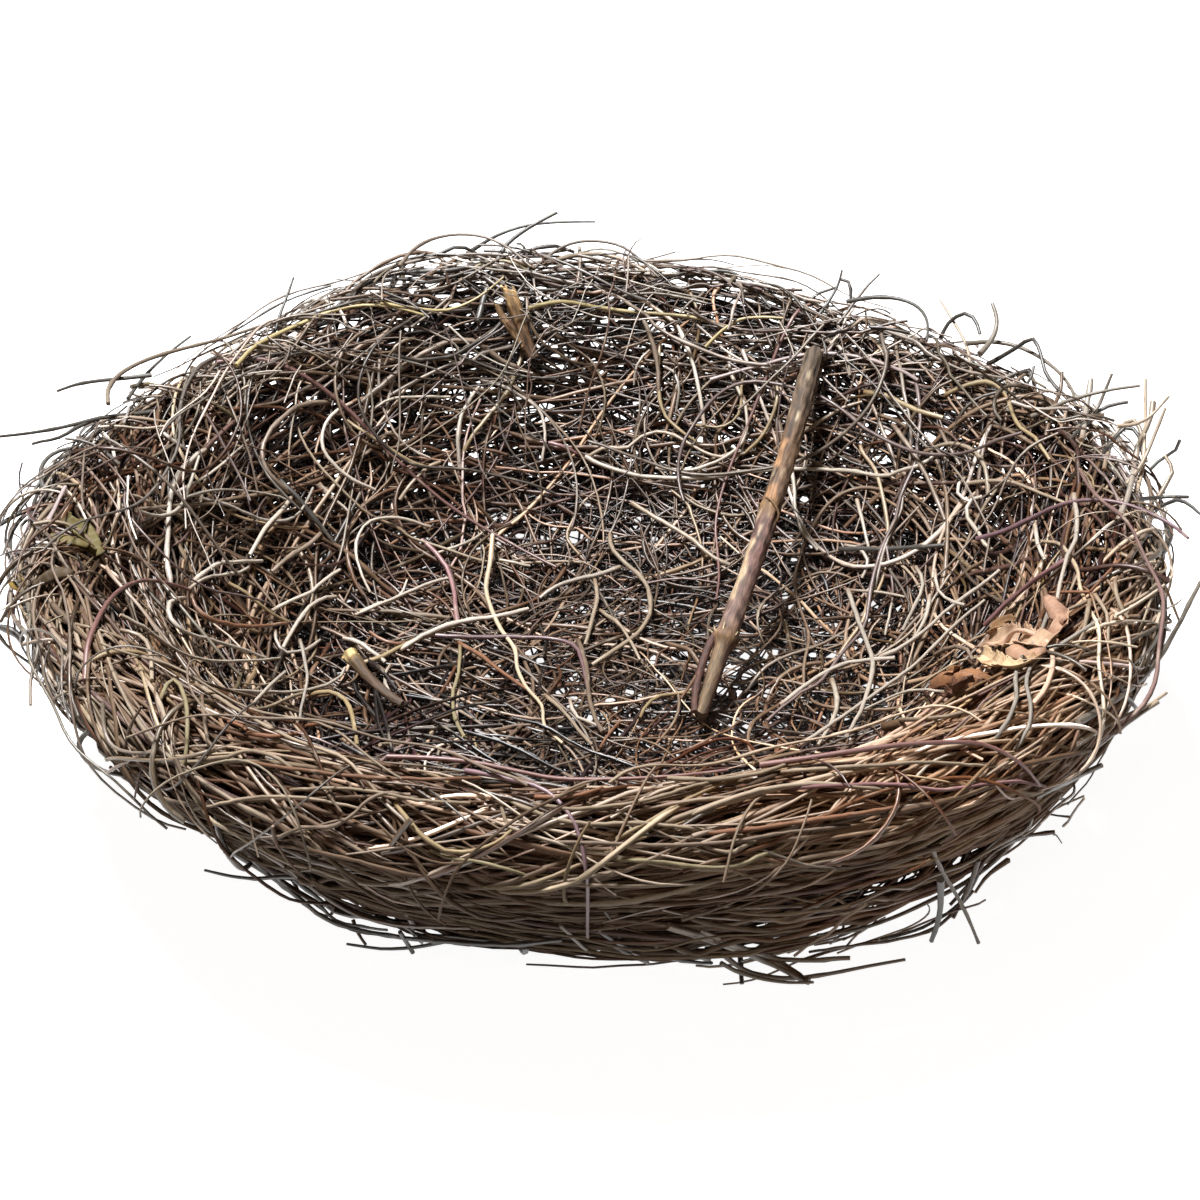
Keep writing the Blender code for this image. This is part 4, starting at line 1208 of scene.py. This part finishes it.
# Tints of the coloured twigs by slot, of one by its name, and of pale and dark loose ends by their side.
TWIG_TINTS = {
    "red_twig": (104, 70, 64), "purple_twig": (110, 82, 86), "ochre_twig": (160, 142, 98),
    "pale_stem": (168, 148, 122),
}
SIDE_TINTS = {
    "left": ((112, 98, 84), (74, 70, 64)), "back": ((104, 90, 78), (70, 66, 60)),
    "right": ((170, 150, 128), (104, 94, 82)), "front": ((120, 106, 90), (72, 68, 62)),
}
THICK = ("woven_wall", "thick_stick", "broken_stub", "knobbed_twig")
GIRTH, STRAY_GIRTH = 0.9, 0.85  # of the twigs, as shares of their solids' radii
SINGLE_SIDES = 7
SUNK, SUNK_OVER = 2.2, 5  # how far loose ends go in where they lie on the nest, and from what height on
slot_of = {row["node"]: row["material_slot"] for row in frame["record"]["subparts"]}
single_bark = bark_material("single_bark", fleck_share=0.35, roughness=0.48)


def place_single(node, slot):
    """A twig in place of a tube-shaped solid; a loose end is smoother, and its foot lies among others."""
    rng = np.random.default_rng(sum(map(ord, node)))
    middles, radii = centreline(node, 3.0)
    stray = node.startswith("stray")
    for _ in range(2 if stray else 0):
        soften(middles, 2)
    path = smooth_through(middles, 3)
    if stray:
        azimuth, place, over = nest.locate(path)
        sunk = over - SUNK * np.clip(1 - over / SUNK_OVER, 0, 1)
        path = path + nest.at(azimuth, place, sunk) - nest.at(azimuth, place, over)
    widths = np.interp(np.linspace(0, 1, len(path)), np.linspace(0, 1, len(radii)), radii)
    widths = widths * (STRAY_GIRTH if stray else GIRTH) * swells(len(path), 0.03, 0.1, 0.2, rng)
    if stray:
        tint = SIDE_TINTS[node.split("_")[1]][slot == "dark_twig"]
    else:
        tint = TWIG_TINTS.get(node) or TWIG_TINTS[slot]
    colour = linear(tint) * rng.lognormal(0, 0.12)
    tints = tints_along(colour, lengths_along(path), np.zeros(len(path)), rng)
    place_piece(twig_mesh(node + "_bark", [Twig(path, widths, tints, SINGLE_SIDES)]), single_bark, slot, node)


for node, slot in sorted(slot_of.items()):
    if node not in THICK and "leaf" not in node:
        place_single(node, slot)


# ---------------------------------------------------------------- stick, stub and knobbed twig

TOWARDS_FRONT = (0, -0.87, 0.5)
LIMB_TONE = 0.66
limb_bark = bark_material("limb_bark", 0.0, roughness=0.7, bump=0.8, gloss=0.5, streaks_share=0.55)


def bump_at(value, middle, spread):
    return np.exp(-(((value - middle) / spread) ** 2))


def wrapped(angle):
    return (angle + np.pi) % (2 * np.pi) - np.pi


def ripple(first, second, seed, waves=7):
    """Smooth unevenness between about -1 and 1 over two directions."""
    rng = np.random.default_rng(seed)
    total = 0
    for _ in range(waves):
        a, b, start = rng.uniform(-1, 1), rng.uniform(-1, 1), rng.uniform(0, 2 * np.pi)
        total = total + np.sin(a * first + b * second + start)
    return total / waves * 1.6


def blend(base, other, share):
    return base * (1 - share[..., None]) + other * share[..., None]


def keyed(share, keys):
    """Colour along a limb, from those at some of its places."""
    places, colours = zip(*keys)
    return between(share, places, linear(colours)) * LIMB_TONE


def patch(share, angle, start, end, side, width, seed):
    """How far each spot is inside a worn patch with a ragged edge."""
    ragged = ripple(share * 110, angle * 5, seed) * 0.45
    across = 1.1 - np.abs(wrapped(angle - side)) / width + ragged
    along = np.minimum(share - start, end - share) * 70 + ragged
    return np.clip(np.minimum(across * 3, along), 0, 1)


def limb(name, node, reach, sides, rings, start, dress, grow):
    """A thick piece in place of a tube-shaped solid, with relief, colours and splinters of its own.

    It starts at that share of the solid's length from the top, and the dress gives its look all over.
    """
    middles, radii = centreline(node, reach)
    if middles[0][2] < middles[-1][2]:
        middles, radii = middles[::-1], radii[::-1]
    lengths = lengths_along(middles)
    at = np.linspace(start * lengths[-1], lengths[-1], rings)
    smooth = smooth_through(middles, 8)
    gone = lengths_along(smooth) * lengths[-1] / lengths_along(smooth)[-1]
    path = between(at, gone, smooth)
    width = np.interp(at, lengths, radii)[:, None]
    angle = wrapped(2 * np.pi * np.arange(sides) / sides)[None, :]
    share = np.linspace(0, 1, rings)[:, None]
    girth, tints, shifts = dress(share, angle, at[:, None])
    path = path + np.outer(ripple(at / 14, at / 37, 5), [0.25, 0.1, 0.15])
    _, front, left = (vectors[0] for vectors in transported(path[None], np.array([TOWARDS_FRONT])))

    def spot(place, turn, out):
        k = min(int(place * (rings - 1)), rings - 1)
        return path[k] + (front[k] * math.cos(turn) + left[k] * math.sin(turn)) * out

    bark = Twig(path, width * girth, tints, sides, TOWARDS_FRONT, shifts)
    for suffix, twigs in (("", [bark]), ("_split", [grown_twig(spot, *row) for row in grow])):
        place_piece(twig_mesh(name + suffix, twigs), limb_bark, slot_of[node], node)


def grown_twig(spot, colour, radii, *spots):
    """A splinter or branch through spots beside a limb: share of its length, angle, distance from it."""
    path = smooth_through([spot(*place) for place in spots], 6)
    rng = np.random.default_rng(len(spots) + sum(colour))
    shape = (len(path), SINGLE_SIDES)
    taper = np.linspace(*radii, len(path))[:, None] * (1 + rng.normal(0, 0.09, shape))
    tints = linear(colour) * LIMB_TONE * (1 + rng.normal(0, 0.12, (*shape, 1)))
    return Twig(path, taper, tints, SINGLE_SIDES)


STICK_TONES = [
    (0, (104, 88, 72)), (0.2, (104, 84, 66)), (0.3, (120, 92, 68)), (0.42, (118, 94, 76)),
    (0.46, (140, 108, 72)), (0.5, (112, 84, 74)), (0.58, (112, 82, 75)), (0.66, (124, 96, 86)),
    (0.76, (126, 100, 90)), (0.815, (132, 102, 74)), (0.86, (98, 78, 58)), (0.92, (88, 66, 44)),
    (1, (66, 48, 30)),
]
STUB_TONES = [(0, (196, 160, 112)), (0.25, (172, 136, 92)), (0.6, (140, 108, 78)), (1, (104, 80, 60))]
KNOB_TONES = [(0, (150, 124, 84)), (0.2, (96, 74, 50)), (0.5, (88, 66, 48)), (1, (110, 88, 70))]
# What grows out of each: colour, first and last radius, and spots beside the limb.
STICK_GROWTH = [
    ((224, 206, 168), (0.6, 0.12), (0.82, 0.4, 2.4), (0.805, 0.45, 3.4), (0.785, 0.5, 4.2)),
    ((214, 192, 150), (0.6, 0.1), (0.82, 1.0, 2.4), (0.81, 1.0, 3.6), (0.797, 1.05, 5.4)),
    ((226, 208, 170), (0.7, 0.14), (0.815, 1.5, 2.4), (0.805, 1.5, 3.8), (0.80, 1.45, 5.8)),
    ((206, 180, 136), (0.5, 0.1), (0.81, 2.0, 2.4), (0.80, 2.0, 3.6), (0.782, 1.9, 4.6)),
    ((220, 202, 160), (0.5, 0.1), (0.82, -0.6, 2.4), (0.805, -0.7, 3.3), (0.79, -0.8, 3.8)),
    ((92, 60, 50), (1.3, 1.2), (0.79, 1.5, 2.4), (0.83, 1.55, 3.9), (0.9, 1.5, 4.1), (0.96, 1.4, 3.4),
     (1, 1.2, 2.2)),
    ((118, 84, 60), (0.7, 0.4), (0.9, 1.5, 4), (0.93, 1.5, 5.2), (0.98, 1.5, 7)),
    ((150, 116, 84), (0.5, 0.3), (0.44, 1.2, 3), (0.455, 0.2, 4), (0.475, -0.8, 3.8), (0.49, -1.6, 3)),
]
STUB_GROWTH = [
    ((150, 118, 82), (0.9, 1.5), (0.16, 1.6, 5.4), (0.3, 1.6, 5.0), (0.5, 1.5, 3.8), (0.8, 1.4, 1.6)),
    ((196, 162, 114), (0.3, 0.8), (0.12, 1.7, 5.8), (0.2, 1.6, 5.4), (0.35, 1.6, 4.6)),
    ((104, 74, 56), (0.6, 1.0), (0.36, 1.6, 3.6), (0.5, 1.5, 2.7), (0.75, 1.4, 1.4)),
    ((132, 98, 68), (0.5, 0.8), (0.42, 1.2, 4.2), (0.6, 1.2, 3.0), (0.85, 1.2, 1.6)),
    ((90, 62, 48), (0.5, 0.9), (0.5, 2.0, 4.4), (0.66, 1.9, 3.2), (0.9, 1.6, 1.6)),
    ((206, 172, 118), (0.2, 0.6), (-0.04, 0.4, 1.6), (0, 0.4, 1.2), (0.1, 0.4, 1.5)),
    ((186, 150, 100), (0.2, 0.6), (0, -1.2, 2.0), (0.04, -1.2, 1.8), (0.2, -1.1, 1.9)),
]
KNOB_GROWTH = [
    ((206, 178, 122), (1.0, 0.8), (0.05, 1.5, 1.2), (0.03, 1.6, 1.9), (0.02, 1.7, 2.4)),
    ((190, 160, 108), (0.9, 0.7), (0.07, -1.4, 1.2), (0.05, -1.4, 1.8), (0.04, -1.4, 2.3)),
    ((120, 92, 60), (0.5, 0.3), (0.3, 1.3, 1.6), (0.33, 1.3, 3), (0.34, 1.3, 5)),
]


def stick_look(share, angle, at):
    """Furrowed bark, worn patches, a low knot, and a torn collar over the bare foot, with a painted highlight
    on one side of the foot and painted shade on the other.
    """
    furrows = ripple(angle * 6 + np.sin(at / 16), at / 6, 3) * 0.55 + ripple(angle * 13, at / 2.4, 4) * 0.45
    grit = ripple(angle * 9, at / 0.9, 7)
    collar = bump_at(share, 0.808, 0.012) * (1 + 0.5 * ripple(angle * 4, share * 9, 14))
    bare = np.clip((share - 0.815) * 60, 0, 1)
    rugged = 1 - 0.45 * np.clip((share - 0.5) * 8, 0, 1)
    girth = 1 + rugged * (0.17 * furrows + 0.07 * grit) + 0.07 * bump_at(share, 0.46, 0.02)
    girth = girth + 0.26 * collar - 0.10 * bare
    tints = keyed(share, STICK_TONES) * (1 + 0.7 * furrows + 0.4 * grit)[..., None].clip(0.25)
    tints = blend(tints, linear((56, 40, 34)) * LIMB_TONE, np.clip(-furrows * 1.7 - 0.5, 0, 0.85) * rugged)
    flakes = np.clip(ripple(angle * 7, at / 1.8, 10) * 2.4 - 1.5, 0, 0.8)
    tints = blend(tints, linear((196, 176, 146)) * LIMB_TONE, flakes)
    worn = patch(share, angle, 0.27, 0.36, 1.0, 0.7, 11) + patch(share, angle, 0.40, 0.45, 0.6, 0.6, 12)
    tints = blend(tints, linear((168, 126, 88)) * 0.8, np.clip(worn, 0, 0.8))
    streak = patch(share, angle, 0.55, 0.72, 0.95, 0.45, 13)
    tints = blend(tints, linear((196, 172, 138)) * 0.8, streak * 0.8)
    girth = girth - 0.05 * streak - 0.05 * np.clip(worn, 0, 1)
    # A painted highlight on the bare foot's lit side and painted shade on its far side.
    lit, dark = np.abs(wrapped(angle - 0.4)), np.abs(wrapped(angle + 1.5))
    tints = blend(tints, linear((156, 128, 94)) * 0.55, bare * np.clip(0.8 - lit, 0, 0.8))
    tints = blend(tints, linear((84, 56, 46)) * LIMB_TONE, bare * np.clip(dark * -0.8 + 1.1, 0, 0.8))
    broken = (share > 0.985) * ripple(angle * 3, share, 12) * 1.6
    return girth, tints, broken + (share < 0.01) * ripple(angle * 4, share, 13) * 1.6


def stub_look(share, angle, at):
    """A split stub: grey-brown wood with golden grain, broken into splinters at its top."""
    grain = ripple(angle * 9, at / 9, 21) * 0.6 + ripple(angle * 15, at / 1.6, 22) * 0.6
    girth = 1.12 + 0.16 * grain
    tints = keyed(share, STUB_TONES) * (1 + 0.5 * grain)[..., None].clip(0.2)
    tints = blend(tints, linear((62, 46, 36)) * LIMB_TONE, np.clip(-grain * 1.6 - 0.3, 0, 0.9))
    splinters = np.clip(1 - share / 0.12, 0, 1) * (ripple(angle * 3, share, 23) - 0.2) * -3.0
    return girth, tints, splinters


def knob_look(share, angle, at):
    """Rough dark bark with a pale, warty knob at its top end."""
    rough = ripple(angle * 4, at / 1.3, 31) * 0.6 + ripple(angle * 9, at / 2.2, 32) * 0.5
    knob = np.clip((0.13 - share) * 22, 0, 1) * np.ones_like(angle)
    girth = 1.04 + 0.13 * rough + knob * (0.2 + 0.22 * rough)
    tints = keyed(share, KNOB_TONES) * (1 + 0.5 * rough)[..., None].clip(0.2)
    tints = blend(tints, linear((46, 36, 28)), np.clip(-rough * 1.5 - 0.3, 0, 0.85))
    tints = blend(tints, linear((214, 186, 130)), np.clip(knob * (0.7 + 0.6 * rough), 0, 0.95))
    return girth, tints, knob * 0.4 * rough


limb("thick_stick_bark", "thick_stick", 3.6, 32, 420, 0, stick_look, STICK_GROWTH)
limb("broken_stub_wood", "broken_stub", 2.6, 28, 90, 0.02, stub_look, STUB_GROWTH)
limb("knobbed_twig_bark", "knobbed_twig", 2.4, 24, 120, 0, knob_look, KNOB_GROWTH)


# ---------------------------------------------------------------- leaves

# Sheets of each dead leaf: tints of sheet and edge, half width, curl and height, and the midrib, as its spots
# in the picture or as azimuth, place, heading and length.
SHEETS = {
    "dry_leaf": [
        ((222, 186, 154), (160, 116, 84), 5.2, 0.5, 1.8, "982,644 1004,636 1029,640 1053,645"),
        ((206, 166, 138), (150, 106, 78), 3.0, 0.5, 1.4, "1064,612 1060,624 1052,638 1040,652"),
        ((234, 202, 160), (170, 124, 84), 3.2, 0.6, 1.6, "980,653 996,661 1015,666 1038,659"),
        # This lobe's darker tints are partly painted shade.
        ((196, 152, 126), (140, 98, 72), 3.0, -0.7, 1.6, "1048,598 1056,610 1066,620"),
        ((178, 138, 96), (120, 86, 60), 2.6, 0.9, 2.2, "990,634 1001,625 1013,618"),
        ((196, 152, 122), (132, 92, 66), 3.0, -0.7, 2.6, "1008,648 1026,652 1046,650"),
    ],
    "dry_leaf_tip": [
        ((178, 124, 84), (116, 76, 50), 4.0, -0.8, 1.6, "932,684 947,676 963,674 981,680"),
        ((112, 70, 46), (70, 46, 34), 3.4, 0.7, 2.2, "943,693 960,690 976,684"),
        ((168, 120, 80), (96, 64, 44), 2.0, 0.9, 2.6, "938,676 950,670 962,668"),
    ],
    "olive_leaf": [
        ((112, 100, 46), (84, 66, 30), 4.2, 0.7, 1.2, (188, 222, 35, 18)),
        ((136, 122, 62), (96, 78, 36), 2.6, -0.7, 1.8, (190, 219, 70, 11)),
    ],
    "ochre_leaf": [
        ((158, 128, 52), (112, 84, 36), 2.6, 0.7, 1.2, (193, 202, 20, 12)),
    ],
    "dark_leaf": [
        ((92, 72, 40), (62, 46, 28), 3.0, -0.6, 1.0, (197, 213, 60, 13)),
    ],
}
LEAF_STEP = 0.45
LEAF_THICKNESS = 0.28
LEAF_TONE = 0.66


def leaf_material():
    """Mottled, slightly rough dead leaf over the sheets' own tints."""
    made, tree, tint = tinted_material("dead_leaf")
    spot = add_node(tree, "ShaderNodeTexCoord", (-1500, -100))
    mottle = add_node(tree, "ShaderNodeTexNoise", (-1100, -100), Vector=spot.outputs["Object"],
                      Scale=700.0, Detail=4.0, Roughness=0.65).outputs["Fac"]
    spread = add_node(tree, "ShaderNodeMapRange", (-900, -100), Value=mottle, From_Min=0.3, From_Max=0.7,
                      To_Min=0.78, To_Max=1.15)
    mottled = mix_colours(tree, "MULTIPLY", (-650, 200), 1.0, tint, spread.outputs["Result"])
    finish_material(tree, mottled, 0.68, 0.3, mottle, 0.35, 0.0004)
    return made


def midrib_of(given, height):
    """Points along the middle of a sheet, a step apart."""
    if isinstance(given, str):
        rays, away = cast(smooth_through(spots_in(given), 6), height)
        soften(away, 1)
        points = EYE + rays * away[:, None]
    else:
        azimuth, place, heading, length = given
        gone = np.linspace(-length / 2, length / 2, 9)
        turn = np.degrees(gone * math.cos(math.radians(heading)) / nest.section(place)[0])
        points = nest.at(azimuth + turn, place + gone * math.sin(math.radians(heading)), np.full(9, height))
    gone = lengths_along(points)
    at = np.linspace(0, gone[-1], max(8, int(gone[-1] / LEAF_STEP)))
    return between(at, gone, points), at


def make_sheet(sheet, edge, half, curl, height, given, seed):
    """Corners, faces and tints of a torn, crumpled sheet of leaf along its midrib."""
    middle, at = midrib_of(given, height)
    rows, columns = len(at), int(2.2 * half / LEAF_STEP)
    share, across = np.meshgrid(at / at[-1], np.linspace(-1, 1, columns), indexing="ij")
    gone = share * at[-1]
    azimuth, place, _ = nest.locate(middle)
    outward = nest.frame(azimuth, place)[2]
    side = unit(np.cross(outward, np.gradient(middle, axis=0)))
    profile = 0.3 + 0.7 * np.sin(np.pi * (0.06 + 0.88 * share)) ** 0.6
    profile = profile + 0.14 * ripple(gone / 1.6, np.sign(across) * 3, seed)
    off = across * half * profile
    folds = np.abs(ripple(gone / 3.4, off / 2.6, seed + 9, 8))
    rise = curl * half * (across**2 - 0.3) + 2.0 * folds + 0.5 * ripple(gone / 1.3, off / 1.2, seed + 17, 9)
    rise = rise - 0.4 * bump_at(across, 0, 0.08)
    spots = middle[:, None] + off[..., None] * side[:, None] + (rise - 0.6)[..., None] * outward[:, None]
    tone = ripple(gone / 2.2, off / 2, seed + 40, 9)
    tints = np.broadcast_to(linear(sheet), tone.shape + (3,))
    tints = blend(tints, linear(edge), np.clip(tone * 1.1 - 0.1, 0, 0.8))
    veins = np.clip(np.sin(gone * 2.4 - np.abs(off) * 1.6) - 0.7, 0, 1) * 2 + bump_at(across, 0, 0.06)
    tints = blend(tints, linear(sheet) * 0.5 + 0.32, np.clip(veins, 0, 1) * 0.35)
    rim = np.clip((np.maximum(np.abs(across), np.abs(share * 2 - 1)) - 0.8) * 6, 0, 1)
    # The leaf's own darker rim, and painted shade in the creases between its folds.
    tints = blend(tints, linear(edge) * 0.8, rim * 0.65) * (1 - 0.35 * np.clip(0.35 - folds, 0, 1))[..., None]
    kept = np.abs(across) < 0.97 - 0.22 * np.abs(ripple(gone / 1.1, np.sign(across) * 5, seed + 60, 8))
    kept &= ripple(gone / 1.9, off / 1.8, seed + 80, 6) < 0.86
    index = np.arange(rows * columns).reshape(rows, columns)
    quads = np.stack([index[:-1, :-1], index[1:, :-1], index[1:, 1:], index[:-1, 1:]], -1).reshape(-1, 4)
    quads = quads[kept.reshape(-1)[quads].all(1)]
    used, quads = np.unique(quads, return_inverse=True)
    return spots.reshape(-1, 3)[used], quads.reshape(-1, 4), tints.reshape(-1, 3)[used]


def make_leaf(node, sheets):
    """All sheets of one leaf, as one piece with a thickness."""
    corners, faces, tints = [], [], []
    for seed, sheet in enumerate(sheets):
        spots, quads, colours = make_sheet(*sheet, seed=seed * 7 + len(node))
        faces.append(quads + sum(map(len, corners)))
        corners.append(spots)
        tints.append(colours)
    mesh = bpy.data.meshes.new(node + "_sheet")
    mesh.from_pydata((np.concatenate(corners) * MM).tolist(), [], np.concatenate(faces).tolist())
    piece = tinted_piece(mesh, np.concatenate(tints) * LEAF_TONE)
    thick = piece.modifiers.new("thickness", "SOLIDIFY")
    thick.thickness = LEAF_THICKNESS * MM
    thick.offset = 0
    place_piece(piece, dead_leaf, slot_of[node], node)


dead_leaf = leaf_material()
for node, sheets in SHEETS.items():
    make_leaf(node, sheets)


# ---------------------------------------------------------------- floor, light and camera

FLOOR_SIZE = 6.0  # from its middle to its sides, in m
FLOOR_HEIGHT = -0.0002
LIT = Vector((0, 0, 0.05))  # where the lights point


def stage_material():
    made = bpy.data.materials.new("pale_floor")
    made.use_nodes = True
    for name, value in (("Base Color", (0.6, 0.6, 0.6, 1)), ("Roughness", 0.9),
                        ("Emission Color", (1, 1, 1, 1)), ("Emission Strength", 0.93)):
        made.node_tree.nodes["Principled BSDF"].inputs[name].default_value = value
    return made


def make_floor():
    mesh = bpy.data.meshes.new("floor")
    corners = [(x * FLOOR_SIZE, y * FLOOR_SIZE, 0) for x, y in ((-1, -1), (1, -1), (1, 1), (-1, 1))]
    mesh.from_pydata(corners, [], [(0, 1, 2, 3)])
    mesh.materials.append(stage_material())
    floor = add_item("floor", mesh)
    floor.location.z = FLOOR_HEIGHT
    floor.visible_diffuse = False


def aim_item(item, place, direction):
    item.location = place
    item.rotation_euler = direction.to_track_quat("-Z", "Y").to_euler()


def area_light(name, place, size, power, colour):
    lamp = bpy.data.lights.new(name, "AREA")
    lamp.shape = "DISK"
    lamp.size = size
    lamp.energy = power
    lamp.color = colour
    aim_item(add_item(name, lamp), place, LIT - Vector(place))


def make_camera():
    camera = bpy.data.cameras.new("camera")
    camera.sensor_width = SENSOR
    camera.lens = LENS
    item = add_item("camera", camera)
    aim_item(item, EYE * MM, Vector(AHEAD))
    bpy.context.scene.camera = item


def make_world():
    world = bpy.data.worlds.new("world")
    world.use_nodes = True
    background = world.node_tree.nodes["Background"]
    background.inputs["Color"].default_value = (1, 0.74, 0.50, 1)
    background.inputs["Strength"].default_value = 0.11
    bpy.context.scene.world = world


make_floor()
make_camera()
area_light("overhead", (-0.3, 0.05, 1.25), 0.3, 42, (0.98, 0.99, 1))
area_light("front", (-0.4, -1.3, 1.0), 0.5, 2.0, (1, 0.86, 0.74))
make_world()
bpy.context.scene.view_settings.view_transform = "Standard"

print(f"{sum(counted)} triangles in {len(counted)} pieces")
